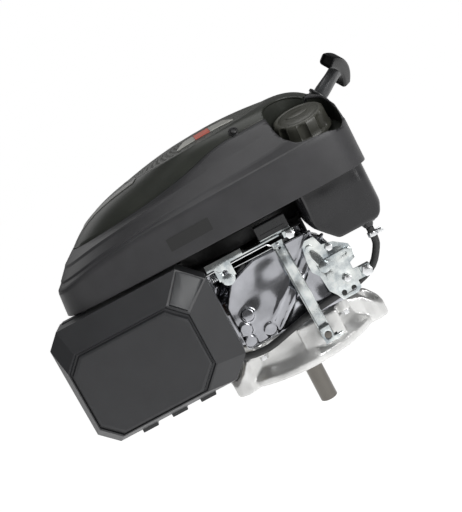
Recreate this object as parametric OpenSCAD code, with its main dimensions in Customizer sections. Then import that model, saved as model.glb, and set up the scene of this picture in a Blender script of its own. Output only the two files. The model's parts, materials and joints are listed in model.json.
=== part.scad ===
// Small vertical-shaft gasoline engine, as an assembly of separate pieces.
// Frame: origin on the crankshaft axis in the plane of the mounting face, +Z up, -Y is the carburettor side.

/* [Mounting] */
// Diameter of the bolt circle of the mounting flange
bolt_circle_d = 203.2; // [200:0.1:206]
// Diameter of each mounting hole
mount_hole_d = 9.5; // [8:0.1:10.5]
// Diameter of the power take-off shaft
pto_d = 22.2; // [20:0.1:23]
// Length of the shaft below the mounting face
pto_length = 73; // [60:1:80]

/* [Cylinder] */
// Cylinder bore
bore_d = 65; // [60:0.5:66]
// Height of the cylinder axis over the mounting face
cylinder_z = 105; // [104:0.5:106]
// Throw of the crankpin
throw = 21; // [19:0.5:21]
// Distance between the two eyes of the connecting rod
rod_length = 85; // [84:0.5:87]

/* [Shroud] */
// Left end of the shroud
shroud_left = -217; // [-220:1:-214]
// Right end of the shroud
shroud_right = 152; // [150:1:156]
// Half of the shroud's width
shroud_half_w = 148; // [146:1:152]
// Height of the shroud's lower edge
shroud_z = 184; // [183:0.5:185]
// Wall of the shroud and the top cover
shell_t = 3; // [2:0.5:4]

/* [Air cleaner] */
// Left side of the air cleaner cover
air_left = -238; // [-240:1:-234]
// Right side of the air cleaner cover
air_right = -60; // [-64:1:-58]
// Lower side of the air cleaner cover
air_bottom = 45; // [44:1:47]
// Upper side of the air cleaner cover
air_top = 180; // [178:1:180]
// Front face of the air cleaner cover
air_front = -176; // [-180:1:-172]

/* [Hidden] */
$fn = 48;

// Castings
seam_z = 50;             // split between sump and crankcase
gasket_t = 0.6;
case_z = seam_z + gasket_t;
case_r = 86;
cavity_r = 79;
case_top_z = 150;
sump_floor = 8;
lug_angles = [-22, 98, -142];
lug_r = 15;
seam_bolt_angles = [10, 48, 115, 152, 196, 240, 310];
seam_bolt_r = 93;

// Crank, camshaft and governor
journal_r = 12.5;
shoulder_drop = 3;        // journal shoulder below the sump's underside
running_gap = 0.05;
gear_module = 1.5;
gear_z = 50.9;
gear_h = 9;
crank_teeth = 22;
cam_teeth = 44;
gov_teeth = 20;
cam_y = gear_module * (crank_teeth + cam_teeth) / 2;
cam_turn = 90;
gov_angle = -16.3;
gov_dist = gear_module * (cam_teeth + gov_teeth) / 2;
gov_x = gov_dist * cos(gov_angle);
gov_y = cam_y + gov_dist * sin(gov_angle);
tappet_z = [68, 79];
cheek_r = 40;

// Cylinder, along -X
deck_x = -126;
head_x = deck_x - 1;
head_end_x = -153;
bore_r = bore_d / 2;
wrist_x = -throw - rod_length;
pushrod_y = cam_y;
valve_y = 9;
valve_z = [90, 121];
barrel_y = [-50, 58];
barrel_z = [60, 149];
cover_y = [-22, 57.5];
cover_z = [58, 136];
cover_end_x = -190;

// Flywheel and recoil starter
flywheel_r = 82;
flywheel_z = 158;
pulley_z = 238;
rope_r = 2;
pulley_r = 28;
rope_tilt = 30;
rope_dir = [cos(rope_tilt), 0, sin(rope_tilt)];
guide_at = [150, 0, 257];

// Fuel tank and cap
cap_at = [108, -88, 228];
cap_tilt = 17;
bay_r = 35;              // bay in the covers round the cap, and how far it reaches
bay_right = 38;
bay_front = 52;
tank_z = 119;
tank_top_z = 224;

// Governor linkage
arm_foot = [28, -105, 30];
arm_top_z = 147;
link_z = 146;
throttle_at = [-140, -81];
throttle_arm = 22;
choke_at = [-114, -93, 112];
lever_at = [59, -101.5, 98];

black = "#26282b";
charcoal = "#34373b";
olive = "#30322e";
zinc = "#a9b8b8";
cast = "#b9b9b6";
steel = "#8d8a85";
silver = "#c9cccf";

function mix(a, b, s) = a * (1 - s) + b * s;
function unit(v) = v / norm(v);
function ramp(table, x) = lookup(x, table);

// Upright tube, which the along modules below can turn
module ring(r_out, r_in, h) {
    difference() {
        cylinder(r = r_out, h = h);
        translate([0, 0, -1]) cylinder(r = r_in, h = h + 2);
    }
}

module at_angles(angles, r) {
    for (a = angles) rotate(a) translate([r, 0, 0]) children();
}

module along_minus_x() { rotate([0, -90, 0]) children(); }
module along_plus_x() { rotate([0, 90, 0]) children(); }
module along_minus_y() { rotate([90, 0, 0]) children(); }
module along_plus_y() { rotate([-90, 0, 0]) children(); }

// Hexagon head under z = 0 with the shank going up
module hex_bolt(r, shank, length) {
    translate([0, 0, -r]) cylinder(r = r * 1.05, h = r, $fn = 6);
    translate([0, 0, -0.01]) cylinder(r = shank, h = length);
}

// Rounded rectangle, exact, with its corner at the low point
module rounded_square(low, high, r) {
    w = high - low;
    translate(low + [r, 0]) square([w[0] - 2 * r, w[1]]);
    translate(low + [0, r]) square([w[0], w[1] - 2 * r]);
    for (x = [low[0] + r, high[0] - r], y = [low[1] + r, high[1] - r]) translate([x, y]) circle(r);
}

// Flat bar between two points of a plane
module bar_2d(p, q, w) {
    d = q - p;
    translate(p) rotate(atan2(d[1], d[0])) translate([0, -w / 2]) square([norm(d), w]);
    translate(p) circle(w / 2);
    translate(q) circle(w / 2);
}

// Gear with straight flanks, a little backlash, one tooth on the angle turn
module gear_2d(teeth, turn) {
    r = gear_module * teeth / 2;
    root = r - 1.2 * gear_module;
    tip = r + 0.85 * gear_module;
    step = 360 / teeth;
    circle(root);
    for (i = [0 : teeth - 1]) rotate(turn + i * step) polygon([
        [root - 0.6, -0.30 * step * PI / 180 * r], [root, -0.30 * step * PI / 180 * r],
        [r, -0.225 * step * PI / 180 * r], [tip, -0.10 * step * PI / 180 * r],
        [tip, 0.10 * step * PI / 180 * r], [r, 0.225 * step * PI / 180 * r],
        [root, 0.30 * step * PI / 180 * r], [root - 0.6, 0.30 * step * PI / 180 * r]]);
}

// Round tube along a path of points, made whole, with flat ends
module sweep(path, r, sides, ref) {
    n = len(path);
    tangents = [for (i = [0 : n - 1]) unit(path[min(i + 1, n - 1)] - path[max(i - 1, 0)])];
    points = [for (i = [0 : n - 1], j = [0 : sides - 1])
        let (t = tangents[i], side = unit(cross(t, ref)), up = cross(side, t), a = 360 * j / sides)
        path[i] + r * (cos(a) * side + sin(a) * up)];
    walls = [for (i = [0 : n - 2], j = [0 : sides - 1])
        let (k = (j + 1) % sides)
        [i * sides + j, i * sides + k, (i + 1) * sides + k, (i + 1) * sides + j]];
    first = [for (j = [sides - 1 : -1 : 0]) j];
    last = [for (j = [0 : sides - 1]) (n - 1) * sides + j];
    polyhedron(points, concat([first], walls, [last]));
}

// Smooth curve through hand-placed points, a few steps to each span
function curve_at(p, i, s) =
    let (a = p[max(i - 1, 0)], b = p[i], c = p[i + 1], d = p[min(i + 2, len(p) - 1)])
    0.5 * (2 * b + (c - a) * s + (2 * a - 5 * b + 4 * c - d) * s * s + (3 * b - a - 3 * c + d) * s * s * s);
function curve(p, steps) = concat(
    [for (i = [0 : len(p) - 2], k = [0 : steps - 1]) curve_at(p, i, k / steps)], [p[len(p) - 1]]);

// Coil whose axis runs along +X
function coil(start, length, r, turns, steps) =
    [for (i = [0 : turns * steps]) let (a = 360 * i / steps)
        start + [length * i / (turns * steps), r * cos(a), r * sin(a)]];

// ---------------------------------------------------------------- castings

// Foot of each mounting lug, sloping up to the wall
module lug_outline() {
    translate([bolt_circle_d / 2 - 1, 0]) circle(lug_r);
    polygon([[60, -38], [96, -16], [bolt_circle_d / 2, -lug_r], [bolt_circle_d / 2, lug_r], [96, 16], [60, 38]]);
}

module flange_profile() {
    rotate_extrude($fn = 96) polygon([[0, 0], [116.6, 0], [116.6, 12], [111, 22], [100, 34], [86, 41], [0, 41]]);
}

module sump() {
    color(cast) difference() {
        union() {
            rotate_extrude($fn = 96) polygon([[0, 0], [97, 0], [99, 2], [99, 9], [95, 13], [89, 19],
                [case_r + 1, 28], [case_r, 40], [case_r, seam_z], [0, seam_z]]);
            intersection() {
                flange_profile();
                linear_extrude(42) for (a = lug_angles) rotate(a) lug_outline();
            }
            translate([0, cam_y, 12]) cylinder(r = 43, h = seam_z - 12);
            at_angles(seam_bolt_angles, seam_bolt_r) translate([0, 0, 36]) cylinder(r = 8, h = seam_z - 36);
            translate([0, -91, 17]) cube([50, 30, 29]);
            translate([drain_x - 14, 60, 10]) cube([28, 31, 19]);
            filler_axis() translate([0, 0, -14]) cylinder(r = 15, h = 34);
        }
        difference() {
            union() {
                translate([0, 0, sump_floor]) cylinder(r = cavity_r, h = seam_z, $fn = 96);
                translate([0, cam_y, sump_floor + 8]) cylinder(r = 36.5, h = seam_z);
            }
            cylinder(r = 21, h = seam_z - 3);
            translate([0, cam_y, 0]) cylinder(r = 13, h = 30);
            translate([gov_x, gov_y, 0]) cylinder(r = 8, h = 24);
            translate([arm_foot[0], -85, arm_foot[2]]) along_plus_y() cylinder(r = 9, h = 20);
        }
        translate([0, 0, -1]) cylinder(r = 18, h = 10);
        translate([0, 0, 5]) cylinder(r = journal_r + running_gap, h = seam_z);
        translate([0, cam_y, 14]) cylinder(r = 7 + running_gap, h = 30);
        translate([gov_x, gov_y, 12]) cylinder(r = 3 + running_gap, h = 30);
        translate([arm_foot[0], -95, arm_foot[2]]) along_plus_y() cylinder(r = 4 + running_gap, h = 40);
        at_angles(lug_angles, bolt_circle_d / 2) translate([0, 0, -1]) cylinder(r = mount_hole_d / 2, h = 60);
        at_angles(lug_angles, bolt_circle_d / 2) translate([0, 0, 15]) cylinder(r = 9.5, h = 40);
        at_angles(seam_bolt_angles, seam_bolt_r) translate([0, 0, 30]) cylinder(r = 3.2, h = 30);
        translate([drain_x, 92, 19]) along_minus_y() cylinder(r = 7.2, h = 30);
        filler_axis() translate([0, 0, -20]) cylinder(r = 9, h = 60);
    }
}

// Oil filler, leaning outwards on the far side
filler_at = [-62, 80, 24];
filler_lean = -35;
drain_x = 40;
module filler_axis() { translate(filler_at) rotate([filler_lean, 0, 0]) children(); }

module crankcase_gasket() {
    color("#3d3f3c") translate([0, 0, seam_z + 0.04]) linear_extrude(gasket_t - 0.08) difference() {
        union() {
            circle(case_r - 0.5);
            translate([0, cam_y]) circle(42.5);
            at_angles(seam_bolt_angles, seam_bolt_r) circle(7.5);
        }
        circle(cavity_r);
        translate([0, cam_y]) circle(36.5);
        at_angles(seam_bolt_angles, seam_bolt_r) circle(3.2);
    }
}

module sump_bolts() {
    color(silver) at_angles(seam_bolt_angles, seam_bolt_r) translate([0, 0, 35.7]) hex_bolt(5, 3, 34);
}

// Round part of the crankcase, outside or inside
module case_round(r, low, high) {
    rotate_extrude($fn = 96) polygon([[0, low], [r, low], [r, 92], [r - 4, 104], [r - 16, 122],
        [r - 30, high - 10], [r - 42, high - 3], [24, high], [0, high]]);
}

module crankcase() {
    color(cast) difference() {
        union() {
            difference() {
                union() {
                    case_round(case_r, case_z, 144);
                    translate([0, cam_y, case_z]) cylinder(r = 43, h = 60);
                    translate([0, cam_y, case_z]) cylinder(r = 16, h = 84);
                    at_angles(seam_bolt_angles, seam_bolt_r) translate([0, 0, case_z]) cylinder(r = 8, h = 22);
                    front_wall();
                    translate([0, 0, 120]) cylinder(r = 26, h = case_top_z - 120);
                    for (p = [[-52, 52], [58, 40], [58, -44], [-40, -62]])
                        translate([p[0], p[1], 90]) cylinder(r = 8, h = 61 - 1);
                }
                difference() {
                    union() {
                        case_round(cavity_r, case_z - 1, 137);
                        translate([0, cam_y, case_z - 1]) cylinder(r = 36.5, h = 55);
                    }
                    translate([0, 0, 128]) cylinder(r = 22, h = 20);
                    translate([0, cam_y, 125]) cylinder(r = 12, h = 30);
                }
            }
            barrel();
        }
        translate([-45, 0, cylinder_z]) along_minus_x() cylinder(r = bore_r, h = 120, $fn = 72);
        translate([0, 0, 100]) cylinder(r = journal_r + running_gap, h = 60);
        translate([0, 0, 144]) cylinder(r = 18, h = 10);
        translate([0, cam_y, 100]) cylinder(r = 7 + running_gap, h = 28);
        for (z = tappet_z) translate([-18, pushrod_y, z]) along_minus_x() cylinder(r = 4.6, h = 120);
        at_angles(seam_bolt_angles, seam_bolt_r) translate([0, 0, case_z - 1]) cylinder(r = 3.2, h = 22);
        for (p = [[-52, 52], [58, 40], [58, -44], [-40, -62]])
            translate([p[0], p[1], 130]) cylinder(r = 2.7, h = 30);
        head_bolt_places() cylinder(r = 4.2, h = 40, center = true);
    }
}

// Flat front with two slanting ribs and bolt bosses
module front_wall() {
    difference() {
        translate([0, -62, 0]) along_minus_y() linear_extrude(27) polygon([[-58, case_z], [84, case_z], [84, 98],
            [72, 128], [56, 140], [-8, 140], [-40, 128], [-58, 104]]);
        translate([0, 0, case_z - 1]) cylinder(r = cavity_r, h = 60, $fn = 96);
    }
    translate([0, -86, 0]) along_minus_y() linear_extrude(4) {
        bar_2d([-25, 62], [63, 137.5], 4);
        bar_2d([-14, 55], [74, 128], 4);
    }
    for (p = [[-49.5, 73], [-40, 87], [-25, 60], [-51, 58.5]])
        translate([p[0], -84, p[1]]) along_minus_y() cylinder(r = 7, h = 7);
}

// Finned cylinder barrel with the tunnel for the pushrods
module barrel() {
    size_y = barrel_y[1] - barrel_y[0];
    size_z = barrel_z[1] - barrel_z[0];
    difference() {
        union() {
            translate([-60, 0, cylinder_z]) along_minus_x() cylinder(r = 41, h = -60 - deck_x);
            for (i = [0 : 5]) translate([-76 - i * 7.5, barrel_y[0], barrel_z[0]]) cube([2.6, size_y, size_z]);
            translate([deck_x, barrel_y[0], barrel_z[0]]) cube([9, size_y, size_z]);
            translate([deck_x + 1, pushrod_y - 8, 59]) cube([60, 15, 30]);
            translate([-70, -44, 62]) cube([14, 88, 78]);
        }
        translate([0, 0, case_z - 1]) cylinder(r = cavity_r, h = 47.4, $fn = 96);
        translate([0, 0, 90]) cylinder(r = 64, h = 46);
    }
}

head_bolts_yz = [[-38, 67.4], [-38, 143], [42, 143.5], [33, 73]];
module head_bolt_places() {
    for (p = head_bolts_yz) translate([deck_x, p[0], p[1]]) along_minus_x() children();
}

module head_gasket() {
    color("#55524c") difference() {
        translate([head_x, barrel_y[0] + 1, barrel_z[0] + 1]) cube([1, 106, 87]);
        translate([deck_x + 1, 0, cylinder_z]) along_minus_x() cylinder(r = bore_r + 0.5, h = 4);
        for (z = tappet_z) translate([deck_x + 1, pushrod_y, z]) along_minus_x() cylinder(r = 4.6, h = 4);
        head_bolt_places() cylinder(r = 4.2, h = 10, center = true);
    }
}

module cylinder_head() {
    size_y = barrel_y[1] - barrel_y[0];
    size_z = barrel_z[1] - barrel_z[0];
    color(cast) difference() {
        union() {
            translate([head_end_x, barrel_y[0] + 6, barrel_z[0] + 6])
                cube([head_x - head_end_x, size_y - 12, size_z - 12]);
            translate([head_x - 6, barrel_y[0], barrel_z[0]]) cube([6, size_y, size_z]);
            for (i = [0 : 1]) translate([head_end_x + 6 + i * 7, barrel_y[0], barrel_z[0]])
                cube([2.6, size_y, size_z]);
            translate([head_end_x, cover_y[0], cover_z[0]])
                cube([9, cover_y[1] - cover_y[0], cover_z[1] - cover_z[0]]);
            for (z = valve_z) translate([head_end_x, valve_y, z]) along_minus_x() cylinder(r = 5.5, h = 6);
            for (z = valve_z) translate([-140, 0, z]) along_minus_y() cylinder(r = 12.5, h = 50);
            translate([-140, 0, valve_z[0]]) along_plus_y() cylinder(r = 12.5, h = 58);
        }
        translate([head_x + 1, 0, cylinder_z]) along_minus_x() cylinder(r = 31, h = 8);
        for (z = valve_z) translate([head_x, valve_y, z]) along_minus_x() cylinder(r = 2.9, h = 40);
        translate([-141, -52, valve_z[1]]) along_plus_y() cylinder(r = 9, h = 61);
        translate([-141, 0, valve_z[0]]) along_plus_y() cylinder(r = 9, h = 62);
        for (z = valve_z) translate([-133, valve_y, z]) along_minus_x() cylinder(r = 9, h = 12);
        for (z = tappet_z) translate([head_x + 1, pushrod_y, z]) along_minus_x() cylinder(r = 4.6, h = 40);
        plug_axis() translate([0, 0, -6]) cylinder(r = 7.1, h = 40);
        plug_axis() translate([0, 0, 13.8]) cylinder(r = 12.5, h = 60);
        head_bolt_places() cylinder(r = 4.2, h = 60, center = true);
    }
}

module head_bolts() {
    color(silver) for (p = head_bolts_yz)
        translate([head_end_x - 0.2, p[0], p[1]]) along_plus_x() hex_bolt(6, 4, 42);
}

// Block between two X positions whose outline lies in the YZ plane
module along_x(low_x, high_x) {
    translate([low_x, 0, 0]) rotate([90, 0, 90]) linear_extrude(high_x - low_x) children();
}

module rocker_cover() {
    rim_x = head_end_x - 0.2;
    color(black) difference() {
        union() {
            along_x(rim_x - 3, rim_x) rounded_square([cover_y[0], cover_z[0]], [cover_y[1], cover_z[1]], 8);
            along_x(cover_end_x, rim_x) rounded_square([cover_y[0] + 3, cover_z[0] + 3],
                [cover_y[1] - 3, cover_z[1] - 3], 8);
        }
        along_x(cover_end_x + 2, rim_x + 1) rounded_square([cover_y[0] + 5, cover_z[0] + 5],
            [cover_y[1] - 5, cover_z[1] - 5], 6);
    }
}

module valve_train() {
    stem_x = -182;
    color(steel) {
        for (z = valve_z) translate([-128.3, valve_y, z]) {
            along_minus_x() cylinder(r = 12.5, h = 2);
            translate([-2, 0, 0]) along_minus_x() cylinder(r1 = 12, r2 = 3, h = 4);
            along_minus_x() cylinder(r = 2.75, h = -128.3 - stem_x);
        }
        for (i = [0, 1]) {
            push = [pushrod_y, tappet_z[i]];
            valve = [valve_y, valve_z[i]];
            centre = (push + valve) / 2;
            translate([-20, push[0], push[1]]) along_minus_x() cylinder(r = 4.5, h = 26);
            translate([-46.2, push[0], push[1]]) along_minus_x() cylinder(r = 2.6, h = -46.2 - stem_x);
            translate([stem_x - 0.2, 0, 0]) rotate([90, 0, -90]) linear_extrude(3.5)
                difference() {
                    mirror([1, 0]) bar_2d(push, valve, 5.6);
                    mirror([1, 0]) translate(centre) circle(1.6);
                }
            translate([head_end_x - 0.2, centre[0], centre[1]]) along_minus_x()
                cylinder(r = 1.5, h = head_end_x - stem_x + 5);
        }
    }
}

module valve_springs() {
    color(zinc) for (z = valve_z) {
        translate([0, valve_y, z])
            sweep(coil([-177.5, 0, 0], 16.5, 7.4, 5, 10), 1.2, 6, [1, 0, 0]);
        translate([-179.2, valve_y, z]) along_plus_x() ring(9, 2.9, 1.4);
    }
}

module plug_axis() { translate([-134, -24.8, 84]) rotate([0, -90, 38]) children(); }

module spark_plug() {
    color(silver) plug_axis() {
        translate([0, 0, -3]) cylinder(r = 6.9, h = 17);
        translate([0, 0, 15]) cylinder(r = 10, h = 9, $fn = 6);
        translate([0, 0, 14]) cylinder(r = 9, h = 1.1);
        translate([0, 0, 24]) cylinder(r = 5, h = 22);
        translate([0, 0, 46]) cylinder(r = 3, h = 8);
        translate([0, 0, -9]) cylinder(r = 1.3, h = 6);
    }
}

lead_route = [[-180, -60, 84], [-183, -58, 104], [-172, -50, 134], [-156, -38, 154], [-135, -12, 159],
    [-116, 10, 163], [-103, 29, 166], [-95.1, 41.6, 166]];
module ignition_lead() {
    color(black) {
        sweep(curve(lead_route, 4), 3.4, 8, [0.6, -0.8, 0]);
        plug_axis() difference() {
            translate([0, 0, 34]) cylinder(r = 8.5, h = 30);
            translate([0, 0, 33]) cylinder(r = 5.15, h = 22);
        }
    }
}

// Coil core against the rim of the flywheel, on two posts of the crankcase
module ignition_coil() {
    color("#3a3a3d") difference() {
        union() {
            rotate(148) translate([flywheel_r + 0.6, -27, 160]) cube([9, 54, 12]);
            rotate(148) translate([flywheel_r + 9, -15, 156]) cube([24, 30, 20]);
        }
        cylinder(r = flywheel_r + 0.6, h = 300, $fn = 96);
    }
}

module lower_oil_seal() { color("#5b3a2c") translate([0, 0, 0.5]) ring(17.9, journal_r + running_gap, 8); }
module upper_oil_seal() { color("#5b3a2c") translate([0, 0, 144.2]) ring(17.9, journal_r + running_gap, 5); }

module drain_plug() {
    color(silver) {
        translate([drain_x, 91.2, 19]) along_plus_y() cylinder(r = 9, h = 6, $fn = 6);
        translate([drain_x, 91.3, 19]) along_minus_y() cylinder(r = 7, h = 14);
    }
}

module oil_filler_tube() {
    color(black) filler_axis() translate([0, 0, 20.2]) difference() {
        union() {
            cylinder(r = 12, h = 74);
            cylinder(r = 15, h = 5);
            translate([0, 0, 65]) cylinder(r = 14, h = 9);
        }
        translate([0, 0, -1]) cylinder(r = 9, h = 90);
    }
}

module dipstick() {
    top = 94.6;
    color(black) filler_axis() {
        translate([0, 0, top]) cylinder(r = 15, h = 5);
        translate([0, 0, top - 8]) cylinder(r = 8.7, h = 8.1);
        translate([-11, -2, top + 5]) cube([22, 4, 9]);
        translate([-2.5, -0.8, 2]) cube([5, 1.6, top - 8 - 2]);
    }
}

// Sheet plate under the flywheel, clear of the tank, the coil and the carburettor
module baffle_plate() {
    color(black) translate([0, 0, 151.2]) difference() {
        linear_extrude(1.6) union() {
            rounded_square([-196, -104], [60, 128], 20);
            circle(90);
            translate([0, 52]) square([98, 68]);
        }
        translate([0, 0, -1]) cylinder(r = 28, h = 4);
        for (p = [[-52, 52], [58, 40], [58, -44], [-40, -62]]) translate([p[0], p[1], -1]) cylinder(r = 2.8, h = 4);
        translate([-190, -62, -1]) cube([94, 50, 4]);
    }
}

// ---------------------------------------------------------------- shroud

// Half-length and centre follow the two ends; squareness is the exponent of the outline
function outline(left, right, half_w, square_l, square_r, a) =
    let (c = cos(a), s = sin(a), mid = (left + right) / 2, half = (right - left) / 2,
        e = c < 0 ? 2 / square_l : 2 / square_r)
    [mid + half * sign(c) * pow(abs(c), e), half_w * sign(s) * pow(abs(s), e)];

edge_z = [[-217, shroud_z - 2], [-160, shroud_z], [152, shroud_z]];
band_z = [[-214, 209], [-146, 222], [-94, 227.5], [26, 229.5], [152, 232]];
ledge_z = [[-209, 215], [-146, 227], [-77, 232], [-8, 235], [61, 239], [110, 245], [151, 250]];
strip_z = [[-200, 226], [-150, 236], [-78, 244], [-8, 250], [62, 255.5], [148, 262]];
step_z = [[-186, 238], [-130, 244], [-79, 249.5], [-29, 258], [14, 270], [81, 271], [142, 270]];

// One level of the shroud's skin: ends, half width, squareness, height line, lift and drop inwards
function level(left, right, half_w, sl, sr, line, lift) = [left, right, half_w, sl, sr, line, lift];
shroud_levels = [
    level(shroud_left, shroud_right, shroud_half_w, 5.5, 9, edge_z, 0),
    level(shroud_left + 1, shroud_right, shroud_half_w, 5.5, 9, edge_z, 9),
    level(shroud_left + 3, shroud_right, shroud_half_w, 5.5, 9, band_z, -3),
    level(shroud_left + 4, shroud_right, shroud_half_w - 0.6, 5.5, 9, band_z, 0),
    level(shroud_left + 6, shroud_right - 0.3, shroud_half_w - 2.5, 5.5, 9, band_z, 1.6),
    level(shroud_left + 9, shroud_right - 1.2, shroud_half_w - 5.5, 5, 8, ledge_z, -1),
    level(shroud_left + 10, shroud_right - 1.4, shroud_half_w - 7, 5, 8, ledge_z, 1),
    level(shroud_left + 17, shroud_right - 4, shroud_half_w - 22, 4, 6, strip_z, -1),
    level(shroud_left + 19, shroud_right - 5, shroud_half_w - 25, 4, 6, strip_z, 1.5),
    level(shroud_left + 29, shroud_right - 10, shroud_half_w - 37, 3, 4, step_z, -2),
    level(shroud_left + 32, shroud_right - 13, shroud_half_w - 41, 2.8, 3.6, step_z, 0)];

function skin_ring(l, inward, drop, steps) = [for (i = [0 : steps - 1])
    let (a = 360 * i / steps, p = outline(l[0] + inward, l[1] - inward, l[2] - inward, l[3], l[4], a))
    [p[0], p[1], ramp(l[5], p[0]) + l[6] - drop]];

// Closed skin between an outer and an inner list of rings
module skin(outer, inner) {
    rings = concat(outer, [for (i = [len(inner) - 1 : -1 : 0]) inner[i]]);
    steps = len(rings[0]);
    levels = len(rings);
    points = [for (r = rings, p = r) p];
    faces = [for (i = [0 : levels - 1], j = [0 : steps - 1])
        let (k = (j + 1) % steps, m = (i + 1) % levels)
        each [[i * steps + j, m * steps + j, i * steps + k], [i * steps + k, m * steps + j, m * steps + k]]];
    polyhedron(points, faces);
}

shroud_steps = 72;
module shroud_skin() {
    n = len(shroud_levels);
    skin([for (l = shroud_levels) skin_ring(l, 0, 0, shroud_steps)],
        [for (i = [0 : n - 1]) skin_ring(shroud_levels[i], shell_t,
            i == 0 ? 0 : min(shell_t, i * 0.6), shroud_steps)]);
}

module cap_axis() { translate(cap_at) rotate([cap_tilt, 0, 0]) children(); }

// Bay round the cap, open to the front down to the band
module cap_bay() {
    cap_axis() linear_extrude(80) {
        circle(bay_r);
        rounded_square([-bay_r + 1, -bay_front], [bay_right, 0], 16);
    }
}

module shroud() {
    color(charcoal) difference() {
        shroud_skin();
        cap_bay();
        translate(guide_at) rotate([0, 90 - rope_tilt, 0]) cylinder(r = 12.5, h = 40, center = true);
    }
}

// Top cover: a drop-shaped dome over the shroud's opening, with a round opening over the fan
crown_r = 97;
crown_tilt = 2.6;
crown_z = 281;
cover_steps = 72;
cover_rim = level(shroud_left + 34, shroud_right - 15, shroud_half_w - 42.8, 2.8, 3.6, step_z, 1.2);
function crown_point(r, a, drop) =
    [r * cos(a), r * sin(a), crown_z + r * cos(a) * sin(crown_tilt) - drop];
function cover_point(a, s, drop) =
    let (rim = outline(cover_rim[0], cover_rim[1], cover_rim[2], cover_rim[3], cover_rim[4], a),
        rim_z = ramp(step_z, rim[0]) + cover_rim[6],
        far = atan2(rim[1], rim[0]), top = crown_point(crown_r, far, 0), bulge = 2.2 + 0.055 * norm(rim - [top[0], top[1]]),
        flat = mix([rim[0], rim[1], rim_z], top, s))
    flat + [0, 0, bulge * 4 * s * (1 - s) * (1.3 - 0.6 * s) - drop];
module top_cover() {
    spans = 9;
    color(olive) difference() {
        skin(
        [for (k = [0 : spans]) [for (i = [0 : cover_steps - 1]) cover_point(360 * i / cover_steps, k / spans, 0)]],
        [for (k = [0 : spans]) [for (i = [0 : cover_steps - 1])
            cover_point(360 * i / cover_steps, k / spans, shell_t - 0.4)]]);
        cap_bay();
    }
}

// Shallow perforated cap over the fan: bands of closed cells and bands where every other cell is open
screen_bands = 11;
screen_steps = 72;
screen_hub_r = 30;
screen_r = crown_r - 2.4;
screen_rise = 9;
screen_t = 2.4;
function screen_radius(k) = mix(screen_hub_r, screen_r, k / screen_bands);
function screen_point(k, i, drop) = let (r = screen_radius(k), s = r / screen_r)
    crown_point(r, 360 * i / screen_steps, drop) + [0, 0, screen_rise * (1 - s * s)];
function is_open(k, i) = k > 0 && k < screen_bands - 1 && k % 2 == 1 && (i + (k - 1) / 2) % 2 == 1;
function cell(a, b, c, d) = [[a, b, c], [a, c, d]];

module vent_screen() {
    m = screen_steps;
    low = (screen_bands + 1) * m;
    hub = 2 * low;
    cells = [for (k = [0 : screen_bands - 1], i = [0 : m - 1])
        let (a = k * m + i, b = k * m + (i + 1) % m, c = b + m, d = a + m)
        each is_open(k, i)
            ? concat(cell(a, b, b + low, a + low), cell(b, c, c + low, b + low), cell(c, d, d + low, c + low),
                cell(d, a, a + low, d + low))
            : concat(cell(a, b, c, d), cell(b + low, a + low, d + low, c + low))];
    rim = [for (i = [0 : m - 1]) let (a = screen_bands * m + i, b = screen_bands * m + (i + 1) % m)
        each cell(a, b, b + low, a + low)];
    middle = [for (i = [0 : m - 1]) let (k = (i + 1) % m) each [[hub, k, i], [hub + 1, i + low, k + low]]];
    peak = crown_point(0, 0, 0) + [0, 0, screen_rise];
    color(olive) polyhedron(concat(
        [for (k = [0 : screen_bands], i = [0 : m - 1]) screen_point(k, i, 0)],
        [for (k = [0 : screen_bands], i = [0 : m - 1]) screen_point(k, i, screen_t)],
        [peak, peak - [0, 0, screen_t]]), concat(cells, rim, middle));
}

module cover_screws() {
    color(silver) {
        for (a = [-76, 30, 95, 150]) {
            seat = cover_point(a, 0.12, 0);
            up = unit(cross(cover_point(a + 2, 0.12, 0) - seat, cover_point(a, 0.16, 0) - seat));
            translate(seat + 0.5 * up) rotate([0, acos(up[2]), atan2(up[1], up[0])]) {
                cylinder(r = 4, h = 2.5);
                translate([0, 0, 2.4]) cylinder(r = 2.6, h = 0.9, $fn = 6);
            }
        }
    }
}

// Bare trapezoid plate with a round centre, near the front of the vent ring
module cover_badge() {
    color(silver) translate([12, -62, crown_z + 7]) rotate([6.5, -crown_tilt, 0]) linear_extrude(1.6)
        polygon([[-30, -14], [30, -14], [19, 12], [-19, 12]]);
}

module rope_guide() {
    color("#55585a") translate(guide_at) rotate([0, 90 - rope_tilt, 0]) difference() {
        union() {
            translate([0, 0, -8]) cylinder(r = 12.2, h = 14);
            translate([0, 0, 4]) cylinder(r = 14, h = 3);
        }
        translate([0, 0, -10]) cylinder(r = 3.2, h = 30);
    }
}

// ---------------------------------------------------------------- recoil starter

module recoil_housing() {
    color(black) {
        translate([0, 0, 254]) cylinder(r = 46, h = 3);
        for (a = [15, 105, 195, 285]) rotate(a) translate([0, -8, 254]) cube([92, 16, 3]);
        translate([0, 0, 222]) cylinder(r = 6, h = 34);
        translate([0, 0, 222]) cylinder(r = 10, h = 3);
    }
}

module recoil_pulley() {
    color("#3b4045") translate([0, 0, pulley_z]) difference() {
        union() {
            translate([0, 0, -8]) cylinder(r = 36, h = 3);
            translate([0, 0, -6]) cylinder(r = pulley_r - rope_r - 0.6, h = 14);
            translate([0, 0, 5]) cylinder(r = 36, h = 3);
        }
        translate([0, 0, -9]) cylinder(r = 6 + running_gap, h = 30);
        translate([0, 0, -2]) ring(22, 9, 12);
    }
}

module recoil_spring() {
    color(steel) translate([0, 0, pulley_z - 1]) for (r = [12, 15, 18]) ring(r + 0.6, r, 8);
}

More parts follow.
